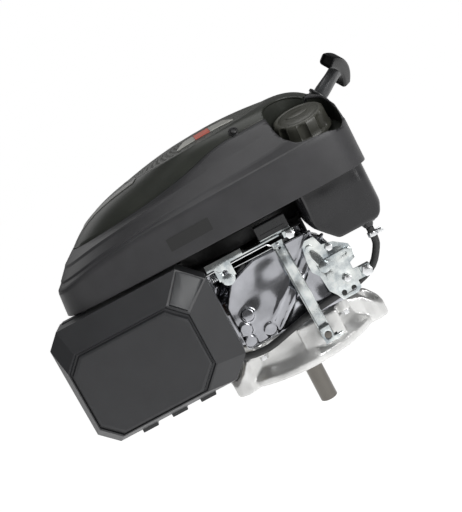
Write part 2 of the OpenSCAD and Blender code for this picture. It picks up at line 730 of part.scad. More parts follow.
rope_route = [[0, -28, 238], [40, -22.5, 239.6], [72, -17, 245.5], [110, -8, 251], [138, -1, 253], [146, 0, 254.7], [159, 0, 262.2]];
module starter_rope() {
    color("#1c1d1f") {
        sweep(curve(rope_route, 3), rope_r, 8, [0, 1, 0]);
        rotate([0, 0, -92]) rotate_extrude(angle = -250) translate([pulley_r, pulley_z]) circle(rope_r);
    }
}

grip_roll = -29;
grip_bend_r = 88;
grip_half_angle = 24;
grip_reach = 29;         // length of the handle's stem
module starter_handle() {
    color(black) translate(guide_at + 11 * rope_dir) rotate([0, -rope_tilt, 0]) difference() {
        union() {
            along_plus_x() cylinder(r = 8.2, h = 8);
            along_plus_x() cylinder(r1 = 7.8, r2 = 6.2, h = grip_reach + 3);
            translate([grip_reach, 0, 0]) rotate([grip_roll, 0, 0]) {
                translate([-grip_bend_r + 8, 0, 0]) rotate(-grip_half_angle)
                    rotate_extrude(angle = 2 * grip_half_angle) translate([grip_bend_r, 0])
                        rounded_square([-8, -9], [8, 9], 5);
                for (s = [-1, 1]) translate([-grip_bend_r + 8, 0, 0]) rotate(s * grip_half_angle)
                    translate([grip_bend_r, 0, 0]) cylinder(r = 7.9, h = 17.6, center = true);
            }
        }
        translate([-1, 0, 0]) along_plus_x() cylinder(r = 2.4, h = 22);
    }
}

// ---------------------------------------------------------------- fuel system

module tank_solid(inset) {
    intersection() {
        difference() {
            translate([0, 0, 100]) linear_extrude(tank_top_z - 100 - inset)
                rounded_square([64 + inset, -114 + inset], [147 - inset, 46 - inset], 14 - inset);
            translate([0, 0, 90]) cylinder(r = 91 + inset, h = 200, $fn = 96);
        }
        translate([0, 100, 0]) along_minus_y() linear_extrude(300) polygon([
            [60 + inset, 240], [150 - inset, 240], [150 - inset, 140 + inset], [140 - inset, 123 + inset],
            [134, tank_z + inset], [88 + inset, tank_z + inset], [67 + inset, 141 + inset], [64 + inset, 150]]);
    }
}

module fuel_tank() {
    color(black) difference() {
        union() {
            tank_solid(0);
            cap_axis() translate([0, 0, -22]) cylinder(r = 21, h = 44);
            translate([124, -95, 106]) cylinder(r = 3.2, h = 16);
            translate([124, -95, 112]) cylinder(r = 7, h = 8);
            translate([134, -64, 108]) cube([6, 14, 16]);
            translate([138, 10, 176]) cube([9, 24, 6]);
        }
        tank_solid(2.5);
        cap_axis() translate([0, 0, -18]) cylinder(r = 18, h = 44);
        translate([124, -95, 100]) cylinder(r = 1.8, h = 24);
    }
}

hose_r = 4.3;
hose_y = -96;
hose_route = [[-118, -66, 103], [-106, -67, 98], [-94, -76, 78], [-78, -90, 56], [-62, hose_y, 47],
    [-36, hose_y, 44], [-7, hose_y, 50], [21, hose_y, 56], [56, hose_y, 60], [86, hose_y, 63],
    [108, hose_y, 72], [121, -95, 88], [124, -95, 98], [124, -95, 111.5]];
module fuel_hose() {
    color("#1d1e1f") difference() {
        sweep(curve(hose_route, 3), hose_r, 12, [0, 1, 0.01]);
        translate([124, -95, 105.8]) cylinder(r = 3.22, h = 10);
    }
}

module hose_clamps() {
    color(silver) {
        translate([124, -95, 101]) ring(hose_r + 1.5, hose_r + 0.15, 5);
        translate([124 + hose_r + 1.3, -98, 101]) cube([7, 2, 5]);
        translate([124 + hose_r + 1.3, -94, 101]) cube([7, 2, 5]);
        translate([124 + hose_r + 5.4, -100, 103.5]) along_plus_y() cylinder(r = 1.6, h = 10);
    }
}

neck_top = 22;
module fuel_cap_gasket() {
    color(black) cap_axis() translate([0, 0, neck_top + 0.4]) ring(20.8, 14, 1.6);
}

module fuel_cap() {
    color(olive) cap_axis() difference() {
        union() {
            translate([0, 0, 9]) cylinder(r = 31.5, h = 3.5);
            difference() {
                translate([0, 0, 12]) cylinder(r1 = 30.5, r2 = 29, h = 17);
                for (a = [0 : 45 : 315]) rotate(a + 10) translate([38.5, 0, 10]) cylinder(r = 11, h = 30);
            }
            translate([0, 0, 12]) cylinder(r = 27.2, h = 18);
            translate([0, 0, 29]) cylinder(r1 = 28.5, r2 = 26.5, h = 4);
            translate([0, 0, 32.5]) cylinder(r1 = 24, r2 = 22.5, h = 1.8);
        }
        translate([0, 0, 8]) cylinder(r = 21.5, h = 16.4);
    }
}

module carburetor() {
    color("#a3a5a3") translate([throttle_at[0], 0, valve_z[1]]) difference() {
        union() {
            translate([0, -60.5, 0]) along_minus_y() cylinder(r = 16, h = 42.6);
            for (y = [-60.5, -98.2]) translate([-29, y - 5, -12]) cube([58, 5, 24]);
            translate([0, throttle_at[1], -22]) cylinder(r = 12, h = 20);
            translate([0, throttle_at[1], 0]) cylinder(r = 5.5, h = 19);
            translate([0, -93, -choke_drop]) along_plus_x() cylinder(r = 5, h = 24);
            translate([6, -66, -18]) along_plus_x() cylinder(r = 3.1, h = 13.6);
            translate([0, -66, -18]) along_plus_x() cylinder(r = 4, h = 12);
            translate([-3, -96, -22]) cube([10, 30, 10]);
        }
        translate([0, -60, 0]) along_minus_y() cylinder(r = 10.5, h = 50);
        translate([0, throttle_at[1], -16]) cylinder(r = 2.5 + running_gap, h = 60);
        translate([2, -93, -choke_drop]) along_plus_x() cylinder(r = 2 + running_gap, h = 30);
        for (x = [-24, 24]) translate([x, -55, 0]) along_minus_y() cylinder(r = 3.1, h = 60);
    }
}
choke_drop = valve_z[1] - choke_at[2];

module float_bowl() {
    color("#b4a56a") translate([throttle_at[0], throttle_at[1], 0]) {
        translate([0, 0, 72]) cylinder(r = 20, h = 11);
        translate([0, 0, 68]) cylinder(r = 6, h = 5, $fn = 6);
        translate([0, 0, 82]) difference() {
            cylinder(r = 20, h = 16.8);
            translate([13, -20, 1]) cube([20, 20, 20]);
        }
    }
}

module intake_insulator() {
    color("#4a3527") translate([throttle_at[0], -50.2, valve_z[1]]) along_minus_y() difference() {
        linear_extrude(10) rounded_square([-29, -14], [29, 14], 6);
        translate([0, 0, -1]) cylinder(r = 9, h = 20);
        for (x = [-24, 24]) translate([x, 0, -1]) cylinder(r = 3.1, h = 20);
    }
}

// Shaft, plate in the bore and lever on top
module throttle_lever() {
    color(zinc) translate([throttle_at[0], throttle_at[1], 0]) {
        translate([0, 0, valve_z[1] - 13]) cylinder(r = 2.5, h = 37);
        translate([0, 0, valve_z[1]]) rotate([0, 0, 60]) along_plus_x() cylinder(r = 9.9, h = 1, center = true);
        translate([0, 0, link_z - 3.5]) linear_extrude(1.6) difference() {
            union() {
                circle(6);
                translate([-4.5, -throttle_arm]) square([9, throttle_arm]);
                bar_2d([0, 0], [13, 6], 7);
            }
            translate([-2.5, -throttle_arm - 1]) square([5, 7.5]);
        }
    }
}

module choke_lever() {
    color(zinc) translate(choke_at) {
        translate([-23, 0, 0]) along_plus_x() cylinder(r = 2, h = 24);
        rotate([0, 90, 0]) rotate(90) linear_extrude(1.6) {
            bar_2d([0, 0], [0, -14], 8);
            bar_2d([0, 0], [12, 0], 7);
        }
        translate([0, 0, -14]) along_plus_x() cylinder(r = 3, h = 5);
    }
}

// Rod from the throttle lever to the top of the governor arm, with its hooked ends
link_y = -99.2;
link_route = [[-140, link_y, 140], [-140, link_y, 146.5], [-138, link_y, 149], [-134, link_y, 149.2],
    [-60, link_y, 149.2], [8, link_y, 149.2], [14, link_y, 149], [16, link_y, 146.6], [19, link_y, 145.2],
    [24.4, link_y, 145]];
module throttle_link() {
    color(silver) {
        sweep(link_route, 1.1, 8, [0, 1, 0.02]);
        translate([25, link_y + 1, 145]) along_minus_y() cylinder(r = 1.3, h = 12);
    }
}

// Light spring beside the rod, riding with it
spring_start = [-57.5, link_y, 142.6];
spring_r = 3.9;
module link_spring() {
    near = spring_start + [0, spring_r, 0];
    color(silver) {
        sweep(coil(spring_start, 13, spring_r, 6, 10), 0.7, 6, [1, 0, 0.01]);
        sweep([near + [12.7, 0, 0], near + [20, -0.6, 0], near + [60, -4, 0], near + [78, -4, 0]], 0.62, 6,
            [0, 1, 0.01]);
        translate(near + [0.3, 0, 0]) along_minus_x() cylinder(r = 0.62, h = 66.3);
    }
}

// ---------------------------------------------------------------- air cleaner

// Eight corners of a box face with cut corners: bounds and the four cuts
function octagon(l, r, b, t, tl, tr, bl, br, y) = [
    [l + bl, y, b], [r - br, y, b], [r, y, b + br], [r, y, t - tr],
    [r - tr, y, t], [l + tl, y, t], [l, y, t - tl], [l, y, b + bl]];

function face_ring(s, y) = octagon(air_left + s[0], air_right - s[1], air_bottom + s[2], air_top - s[3],
    15 + s[4], 24 + s[5], 18, 21, y);

// Solid between rings of eight points, closed at both ends
module stack(rings) {
    n = len(rings);
    m = len(rings[0]);
    walls = [for (i = [0 : n - 2], j = [0 : m - 1]) let (k = (j + 1) % m)
        each [[i * m + j, (i + 1) * m + j, i * m + k], [i * m + k, (i + 1) * m + j, (i + 1) * m + k]]];
    polyhedron([for (r = rings, p = r) p],
        concat([[for (j = [0 : m - 1]) j]], walls, [[for (j = [m - 1 : -1 : 0]) (n - 1) * m + j]]));
}

air_seam = -113;
module air_box_cover() {
    color(charcoal) {
        difference() {
            stack([face_ring([0, 0, 0, 0, 0, 0], air_seam), face_ring([0, 0, 0, 0, 0, 0], air_seam - 40),
                face_ring([9, 31, 9, 27, 0, -6], air_front + 3.5), face_ring([11, 33, 11, 29, 0, -6], air_front + 3.5),
                face_ring([12.5, 35, 12.5, 31, 0, -6], air_front)]);
            stack([face_ring([3, 3, 3, 3, 0, 0], air_seam + 1), face_ring([3, 3, 3, 3, 0, 0], air_seam - 39),
                face_ring([13, 34, 13, 31, 0, -6], air_front + 6)]);
        }
        for (x = [-186, -151, -117]) {
            translate([x - 9, air_seam - 14, air_bottom - 4]) cube([18, 14, 4.01]);
            translate([x - 9, air_seam - 2, air_bottom - 3]) along_plus_x() cylinder(r = 2, h = 18);
        }
        for (x = [-205, -112]) translate([x - 14, air_seam - 12, air_top - 0.01]) cube([28, 12, 1.1]);
    }
}

// Strap over the upper right corner of the cover, lying on the slanted corner facet
latch_gap = 0.4;
latch_t = 2.6;
facet_outer = face_ring([0, 0, 0, 0, 0, 0], air_seam - 40);
facet_inner = face_ring([9, 31, 9, 27, 0, -6], air_front + 3.5);
facet_normal = unit(cross(facet_outer[4] - facet_outer[3], facet_inner[3] - facet_outer[3]));
function facet(s, t) = mix(mix(facet_outer[3], facet_outer[4], s), mix(facet_inner[3], facet_inner[4], s), t);
latch_corners = [facet(0.06, 0.06), facet(0.94, 0.06), facet(0.88, 0.94), facet(0.12, 0.94)];
module cover_latch() {
    color("#3d4146") {
        polyhedron(concat([for (p = latch_corners) p + latch_gap * facet_normal],
            [for (p = latch_corners) p + (latch_gap + latch_t) * facet_normal]),
            [[0, 1, 2, 3], [7, 6, 5, 4], [0, 4, 5, 1], [1, 5, 6, 2], [2, 6, 7, 3], [3, 7, 4, 0]]);
        translate(facet(0.2, 0.07) + 1.8 * facet_normal) rotate([0, -45, 0]) cylinder(r = 1.3, h = 20);
    }
}

module air_box_base() {
    color(black) difference() {
        stack([face_ring([2, 2, 2, 2, 0, 0], -104.2), face_ring([0.5, 0.5, 0.5, 0.5, 0, 0], -106),
            face_ring([0.5, 0.5, 0.5, 0.5, 0, 0], air_seam + 0.4)]);
        stack([face_ring([6, 6, 6, 6, 0, 0], -107.5), face_ring([6, 6, 6, 6, 0, 0], air_seam - 1)]);
        translate([throttle_at[0], -100, valve_z[1]]) along_minus_y() cylinder(r = 12, h = 20);
    }
}

module air_filter() {
    color("#c9bfa5") difference() {
        translate([-204, -160, 64]) cube([100, 50, 92]);
        translate([-196, -158, 72]) cube([84, 60, 76]);
        for (i = [0 : 11]) translate([-205, -156 + i * 3.9, 66]) cube([2.5, 1.9, 88]);
    }
}

// ---------------------------------------------------------------- exhaust

module muffler() {
    color("#6f6c66") difference() {
        union() {
            translate([-145, 0, 106]) translate([0, 118, 0]) along_minus_y() linear_extrude(52)
                rounded_square([-46, -34], [46, 34], 16);
            translate([-141, 58.3, valve_z[0]]) along_plus_y() cylinder(r = 11, h = 10);
            translate([-161, 58.3, valve_z[0] - 13]) cube([40, 4, 26]);
            translate([-150, 114, 92]) along_plus_y() cylinder(r = 9, h = 12);
        }
        translate([-145, 115, 106]) along_minus_y() linear_extrude(46) rounded_square([-43, -31], [43, 31], 13);
        translate([-141, 58, valve_z[0]]) along_plus_y() cylinder(r = 9, h = 14);
        translate([-150, 110, 92]) along_plus_y() cylinder(r = 7.5, h = 20);
    }
}

module muffler_guard() {
    color(black) difference() {
        translate([-199, 68, 66]) cube([108, 65, 82]);
        translate([-196, 60, 69]) cube([102, 70, 76]);
        for (i = [0 : 5], k = [0 : 3]) if (!(k == 1 && (i == 2 || i == 3)))
            translate([-190 + i * 17, 125, 76 + k * 18]) cube([11, 12, 8]);
        translate([-150, 120, 92]) along_plus_y() cylinder(r = 11, h = 20);
        translate([-100, 50, 60]) cube([20, 26, 100]);
    }
}

// ---------------------------------------------------------------- controls

module control_plate() {
    color(zinc) difference() {
        union() {
            translate([-58, -112, 153]) cube([88, 22, 1.6]);
            translate([-58, -112, 153]) cube([44, 1.6, 8]);
            translate([-50, -112, 138]) cube([20, 1.6, 16]);
            translate([-40, -112, 138]) along_plus_y() cylinder(r = 8, h = 1.6);
            translate([9, -106, 154.5]) cube([36, 12, 17]);
            translate([34, -112, 148]) cube([13, 7, 6.7]);
        }
        translate([-40, -113, 145]) along_plus_y() cylinder(r = 3, h = 5);
    }
}

module control_bracket() {
    color(zinc) difference() {
        union() {
            translate([0, bracket_y, 0]) along_minus_y() linear_extrude(1.6) polygon([[47, 128], [52, 133], [63, 133],
                [67, 121], [80, 118], [94, 108], [96, 92], [86, 88], [86, 58], [80, 54], [62, 54], [58, 62],
                [52, 70], [50, 90], [44, 98], [44, 110]]);
            for (p = bracket_bolts) translate([p[0], -89.4, p[1]]) along_minus_y() cylinder(r = 4.5, h = -89.3 - bracket_y);
            translate([86, bracket_y - 1.5, 92]) cube([1.6, 15, 17]);
            translate([84, bracket_y - 1.6, 66]) cube([20, 1.6, 14]);
            translate([92, bracket_y - 9, 68]) cube([12, 7.5, 12]);
        }
        for (p = bracket_bolts) translate([p[0], -80, p[1]]) along_minus_y() cylinder(r = 2.6, h = 40);
        translate([lever_at[0], -90, lever_at[2]]) along_minus_y() cylinder(r = 4 + running_gap, h = 20);
        for (p = [[66, 61], [78, 61]]) translate([p[0], -90, p[1]]) along_minus_y() cylinder(r = 3, h = 20);
    }
}
bracket_y = -100.8;
bracket_bolts = [[73, 115], [76, 74]];

module bracket_screws() {
    color(silver) {
        for (p = bracket_bolts) translate([p[0], bracket_y - 1.8, p[1]]) along_plus_y() hex_bolt(4, 2.5, 12);
        translate([41, -112.2, 150]) along_plus_y() hex_bolt(5, 2.5, 0.02);
        translate([98, -110.4, 74]) along_plus_y() hex_bolt(6, 2.5, 0.02);
    }
}

// Lever that sets the engine's speed, with a tab for the cable
module control_lever() {
    color("#b8c4c4") {
        translate([0, -102.8, 0]) along_minus_y() linear_extrude(1.6) difference() {
            union() {
                bar_2d([59, 98], [88, 100], 13);
                bar_2d([59, 98], [53, 122], 10);
            }
            translate([86, 101]) circle(2);
            translate([53, 122]) circle(2);
        }
        translate([59, -108, 98]) along_plus_y() cylinder(r = 6.5, h = 4);
        translate([59, -104.2, 98]) along_plus_y() cylinder(r = 4, h = 6);
    }
}

module governor_shaft() {
    color(steel) {
        translate([arm_foot[0], -112, arm_foot[2]]) along_plus_y() cylinder(r = 4, h = 146);
        translate([arm_foot[0] - 3, 28, arm_foot[2] + 3]) cube([6, 5, 9]);
    }
}

arm_lean = atan2(3, arm_top_z - arm_foot[2]);
module governor_arm() {
    color(zinc) translate(arm_foot) difference() {
        rotate([0, -arm_lean, 0]) difference() {
            union() {
                translate([-6.5, 2.2, -4]) cube([13, 1.6, arm_top_z - arm_foot[2] + 4]);
                for (x = [-6.5, 4.9]) translate([x, -3, -4]) cube([1.6, 6.8, arm_top_z - arm_foot[2] - 2]);
                translate([-6.4, -6.8, -9]) cube([12.8, 9.1, 19]);
                translate([5, -3.4, -7]) along_plus_x() cylinder(r = 4.4, h = 5, $fn = 6);
                translate([9.5, -3.4, -7]) along_plus_x() cylinder(r = 2.5, h = 6);
            }
            translate([0, 0, 115]) along_plus_y() cylinder(r = 1.5, h = 20);
            translate([-1.5, -10, 108]) cube([3, 20, 3]);
        }
        translate([0, -20, 0]) along_plus_y() cylinder(r = 4.02, h = 40);
    }
}

// ---------------------------------------------------------------- moving parts inside

module piston() {
    color("#c4c4c2") difference() {
        translate([wrist_x - 18, 0, cylinder_z]) rotate([0, 90, 0]) cylinder(r = bore_r - 0.06, h = 45, $fn = 72);
        difference() {
            translate([wrist_x - 10, 0, cylinder_z]) rotate([0, 90, 0]) cylinder(r = 30, h = 60);
            for (s = [-1, 1]) translate([wrist_x, 0, cylinder_z + s * 22]) cylinder(r = 11, h = 20, center = true);
        }
        for (i = [0 : 2]) translate([wrist_x - 14.5 + i * 3.5, 0, cylinder_z]) rotate([0, 90, 0])
            ring(bore_r + 2, bore_r - 1.2, 1.5);
        translate([wrist_x, 0, cylinder_z - 40]) cylinder(r = 6 + running_gap, h = 80);
    }
}

module connecting_rod() {
    color("#b5b5b0") translate([0, 0, cylinder_z]) difference() {
        union() {
            translate([-throw, 0, -7.5]) cylinder(r = 19, h = 15);
            translate([wrist_x, 0, -6]) cylinder(r = 8, h = 12);
            translate([wrist_x, -6, -5]) cube([rod_length, 12, 10]);
            for (s = [-1, 1]) translate([-throw + 2, s * 17.5, 0]) along_plus_x() cylinder(r = 4, h = 10, center = true);
            translate([wrist_x, 0, -11]) cylinder(r = 6, h = 22);
        }
        translate([-throw, 0, -20]) cylinder(r = 13 + running_gap, h = 40);
    }
}

module cheek(z, h) {
    translate([0, 0, z]) linear_extrude(h) {
        translate([-throw, 0]) circle(16);
        circle(20);
        intersection() {
            circle(cheek_r);
            translate([2, -cheek_r]) square([cheek_r, 2 * cheek_r]);
        }
        polygon([[-throw, -16], [4, -22], [4, 22], [-throw, 16]]);
    }
}

// Crankshaft with its gear, keyway at the take-off end and a threaded hole in the tip
module crankshaft() {
    color(steel) difference() {
        union() {
            translate([0, 0, -pto_length + 1])
                cylinder(r = pto_d / 2, h = pto_length - 1 - shoulder_drop + 0.5);
            translate([0, 0, -pto_length]) cylinder(r1 = pto_d / 2 - 1, r2 = pto_d / 2, h = 1);
            translate([0, 0, -shoulder_drop]) cylinder(r = journal_r, h = 87 + shoulder_drop);
            translate([0, 0, gear_z]) linear_extrude(gear_h) gear_2d(crank_teeth, 0);
            cheek(86, 10);
            translate([-throw, 0, 95]) cylinder(r = 13, h = 20);
            cheek(114, 10);
            translate([0, 0, 123]) cylinder(r = journal_r, h = 32);
            translate([0, 0, 154]) cylinder(r = 10.4, h = 31.1);
            translate([0, 0, 185]) cylinder(r = 7, h = 29);
        }
        translate([0, 0, -pto_length - 1]) cylinder(r = 4.2, h = 26);
        translate([pto_d / 2 - 2.4, -2.4, -pto_length - 1]) cube([6, 4.8, 52]);
    }
}

module flywheel() {
    color("#9a9c9c") difference() {
        union() {
            translate([0, 0, flywheel_z]) cylinder(r = flywheel_r, h = 16, $fn = 96);
            translate([0, 0, flywheel_z]) cylinder(r = 24, h = 27);
        }
        translate([0, 0, flywheel_z - 1]) cylinder(r = 10.43, h = 40);
        translate([0, 0, flywheel_z - 1]) ring(70, 30, 12);
    }
    color(black) difference() {
        translate([0, 0, flywheel_z + 15.9]) cylinder(r = 80, h = 3);
        translate([0, 0, flywheel_z + 10]) cylinder(r = 24.2, h = 20);
    }
    color(black) for (i = [0 : 19]) rotate(i * 18) translate([36, 0, flywheel_z + 18]) rotate(-28)
        translate([0, -1, 0]) cube([38, 2, 25]);
    color(silver) difference() {
        translate([0, 0, 185.2]) union() {
            ring(32, 29.5, 30);
            ring(32, 7.1, 2);
        }
        for (i = [0 : 7]) rotate(i * 45) translate([25, 0, 200]) along_plus_x() cylinder(r = 5, h = 12);
    }
    color(silver) translate([0, 0, 187.3]) difference() {
        cylinder(r = 13, h = 11, $fn = 6);
        translate([0, 0, -1]) cylinder(r = 7.02, h = 20);
    }
}

module lobe(z, a) {
    translate([0, 0, z - 3]) rotate(a) linear_extrude(6) {
        circle(13.5);
        bar_2d([0, 0], [10, 0], 17);
    }
}

module camshaft() {
    color("#77756f") translate([0, cam_y, 0]) {
        translate([0, 0, 14.3]) cylinder(r = 7, h = 111);
        translate([0, 0, gear_z]) linear_extrude(gear_h) gear_2d(cam_teeth, cam_turn);
        lobe(tappet_z[0], -35);
        lobe(tappet_z[1], 70);
    }
}

module governor_gear() {
    mesh_turn = gov_angle + 180;
    // Angle of the cam tooth nearest to the line of centres, seen from the camshaft
    cam_step = 360 / cam_teeth;
    phase = (gov_angle - cam_turn) / cam_step;
    offset_deg = (phase - floor(phase)) * cam_step;
    color("#d9d4c4") translate([gov_x, gov_y, 0]) {
        translate([0, 0, gear_z]) linear_extrude(gear_h)
            gear_2d(gov_teeth, mesh_turn + (offset_deg * cam_teeth / gov_teeth) + 180 / gov_teeth);
        translate([0, 0, 36]) cylinder(r = 8.5, h = 5);
        translate([0, 0, 36]) cylinder(r = 5.5, h = 16);
        translate([0, 0, 24.5]) cylinder(r = 5, h = 12);
    }
    color(steel) translate([gov_x, gov_y, 14]) cylinder(r = 3, h = 20);
}

sump();
crankcase_gasket();
sump_bolts();
crankcase();
head_gasket();
cylinder_head();
head_bolts();
rocker_cover();
valve_train();
valve_springs();
spark_plug();
ignition_lead();
ignition_coil();
lower_oil_seal();
upper_oil_seal();
drain_plug();
oil_filler_tube();
dipstick();
baffle_plate();
shroud();
top_cover();
vent_screen();
cover_screws();
cover_badge();
rope_guide();
recoil_housing();
recoil_pulley();
recoil_spring();
starter_rope();
starter_handle();
fuel_tank();
hose_clamps();
fuel_hose();
fuel_cap_gasket();
fuel_cap();
carburetor();
float_bowl();
intake_insulator();
throttle_lever();
choke_lever();
throttle_link();
link_spring();
air_box_base();
air_filter();
air_box_cover();
cover_latch();
muffler();
muffler_guard();
control_bracket();
control_plate();
bracket_screws();
control_lever();
governor_shaft();
governor_arm();
piston();
connecting_rod();
crankshaft();
flywheel();
camshaft();
governor_gear();
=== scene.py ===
import json
import math

import bpy
from mathutils import Matrix, Vector
from mathutils.bvhtree import BVHTree


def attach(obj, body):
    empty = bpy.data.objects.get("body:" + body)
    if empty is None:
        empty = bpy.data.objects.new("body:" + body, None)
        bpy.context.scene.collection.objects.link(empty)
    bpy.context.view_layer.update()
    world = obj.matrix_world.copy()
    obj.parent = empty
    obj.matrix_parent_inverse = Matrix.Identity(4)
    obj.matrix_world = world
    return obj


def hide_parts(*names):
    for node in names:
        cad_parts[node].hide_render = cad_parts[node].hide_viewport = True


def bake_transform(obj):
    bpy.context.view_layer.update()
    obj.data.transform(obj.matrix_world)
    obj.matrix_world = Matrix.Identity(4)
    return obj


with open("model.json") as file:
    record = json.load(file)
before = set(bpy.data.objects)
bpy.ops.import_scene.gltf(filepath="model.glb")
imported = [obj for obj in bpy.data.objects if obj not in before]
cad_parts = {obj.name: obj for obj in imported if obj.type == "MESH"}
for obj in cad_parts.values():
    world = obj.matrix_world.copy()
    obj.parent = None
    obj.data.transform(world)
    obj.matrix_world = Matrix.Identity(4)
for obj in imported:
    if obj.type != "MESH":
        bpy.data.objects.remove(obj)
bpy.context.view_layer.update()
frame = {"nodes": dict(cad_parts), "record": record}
NODES = frame["nodes"]
MM = 0.001

# ------------------------------------------------------------------ camera, light and floor

scene = bpy.context.scene
scene.view_settings.view_transform = "Standard"

TARGET = Vector((-0.026, 0.0, 0.1404))
DISTANCE = 1.130
ELEVATION = math.radians(9)
ROLL = math.radians(-28)

camera_data = bpy.data.cameras.new("camera")
camera_data.lens = 66.2
camera = bpy.data.objects.new("camera", camera_data)
scene.collection.objects.link(camera)
camera_back = Vector((0.0, -math.cos(ELEVATION), math.sin(ELEVATION)))
camera.location = TARGET + camera_back * DISTANCE
camera.rotation_mode = "QUATERNION"
level_view = (-camera_back).to_track_quat("-Z", "Y")
camera.rotation_quaternion = level_view @ Matrix.Rotation(ROLL, 3, "Z").to_quaternion()
scene.camera = camera


def area_light(name, place, aim, size, power):
    data = bpy.data.lights.new(name, "AREA")
    data.shape = "RECTANGLE"
    data.size, data.size_y = size
    data.energy = power
    light = bpy.data.objects.new(name, data)
    scene.collection.objects.link(light)
    light.location = place
    light.rotation_mode = "QUATERNION"
    light.rotation_quaternion = (Vector(aim) - Vector(place)).to_track_quat("-Z", "Y")


area_light("key_right", (0.62, -0.95, 0.55), (0.10, -0.1, 0.15), (0.35, 0.7), 7.5)
area_light("top_box", (0.25, -0.1, 1.25), (0.0, 0, 0.2), (1.1, 0.8), 6)
area_light("fill_left", (-1.2, -0.9, 0.35), (-0.05, 0, 0.15), (0.5, 0.9), 1.1)
area_light("rim_back", (-0.5, 1.2, 0.9), (0, 0, 0.2), (1.0, 0.6), 1.5)

# The sky is white to the camera and dim as a light
SKY_LIGHT, SKY_SEEN = 0.13, 1.0
world = bpy.data.worlds.new("studio")
scene.world = world
world.use_nodes = True
sky = world.node_tree.nodes["Background"]
sky.inputs["Color"].default_value = (1, 1, 1, 1)
path = world.node_tree.nodes.new("ShaderNodeLightPath")
strength = world.node_tree.nodes.new("ShaderNodeMapRange")
strength.inputs["To Min"].default_value = SKY_LIGHT
strength.inputs["To Max"].default_value = SKY_SEEN
world.node_tree.links.new(path.outputs["Is Camera Ray"], strength.inputs["Value"])
world.node_tree.links.new(strength.outputs["Result"], sky.inputs["Strength"])

# ------------------------------------------------------------------ materials


FINE_DEPTH, DENT_DEPTH, DENT_SCALE = 0.0004, 0.02, 19
MOTTLE_LOW, MOTTLE_HIGH = 0.3, 0.7
FLOOR_GLOW = 0.88


def new_material(name, color, rough, metal=0.0, spread=0.12, grain=0.0, grain_scale=900, mottle_scale=28,
                 rough_spread=0.08, tint=None, specular=0.5, dents=0.0):
    """Procedural material: broad mottling in colour, fine grain in roughness and bump, optional tint and dents."""
    mat = bpy.data.materials.new(name)
    mat.use_nodes = True
    nodes, links = mat.node_tree.nodes, mat.node_tree.links
    shader = nodes["Principled BSDF"]
    shader.inputs["Metallic"].default_value = metal
    shader.inputs["Specular IOR Level"].default_value = specular
    place = nodes.new("ShaderNodeTexCoord")

    def noise(scale, detail, roughness=0.5):
        texture = nodes.new("ShaderNodeTexNoise")
        texture.inputs["Scale"].default_value = scale
        texture.inputs["Detail"].default_value = detail
        texture.inputs["Roughness"].default_value = roughness
        links.new(place.outputs["Object"], texture.inputs["Vector"])
        return texture.outputs["Fac"]

    def bump(height, amount, depth):
        relief = nodes.new("ShaderNodeBump")
        relief.inputs["Strength"].default_value = amount
        relief.inputs["Distance"].default_value = depth
        links.new(height, relief.inputs["Height"])
        return relief

    ramp = nodes.new("ShaderNodeValToRGB")
    dark = [c * (1 - spread) for c in color]
    light = [min(1, c * (1 + spread)) for c in (tint or color)]
    ramp.color_ramp.elements[0].color = (*dark, 1)
    ramp.color_ramp.elements[0].position = MOTTLE_LOW
    ramp.color_ramp.elements[1].color = (*light, 1)
    ramp.color_ramp.elements[1].position = MOTTLE_HIGH
    links.new(noise(mottle_scale, 6, 0.6), ramp.inputs["Fac"])
    links.new(ramp.outputs["Color"], shader.inputs["Base Color"])
    fine = noise(grain_scale, 3)
    span = nodes.new("ShaderNodeMapRange")
    span.inputs["To Min"].default_value = max(0.02, rough - rough_spread)
    span.inputs["To Max"].default_value = min(1.0, rough + rough_spread)
    links.new(fine, span.inputs["Value"])
    links.new(span.outputs["Result"], shader.inputs["Roughness"])
    if grain:
        surface = bump(fine, grain, FINE_DEPTH)
        if dents:
            swell = bump(noise(DENT_SCALE, 1), dents, DENT_DEPTH)
            links.new(swell.outputs["Normal"], surface.inputs["Normal"])
        links.new(surface.outputs["Normal"], shader.inputs["Normal"])
    return mat


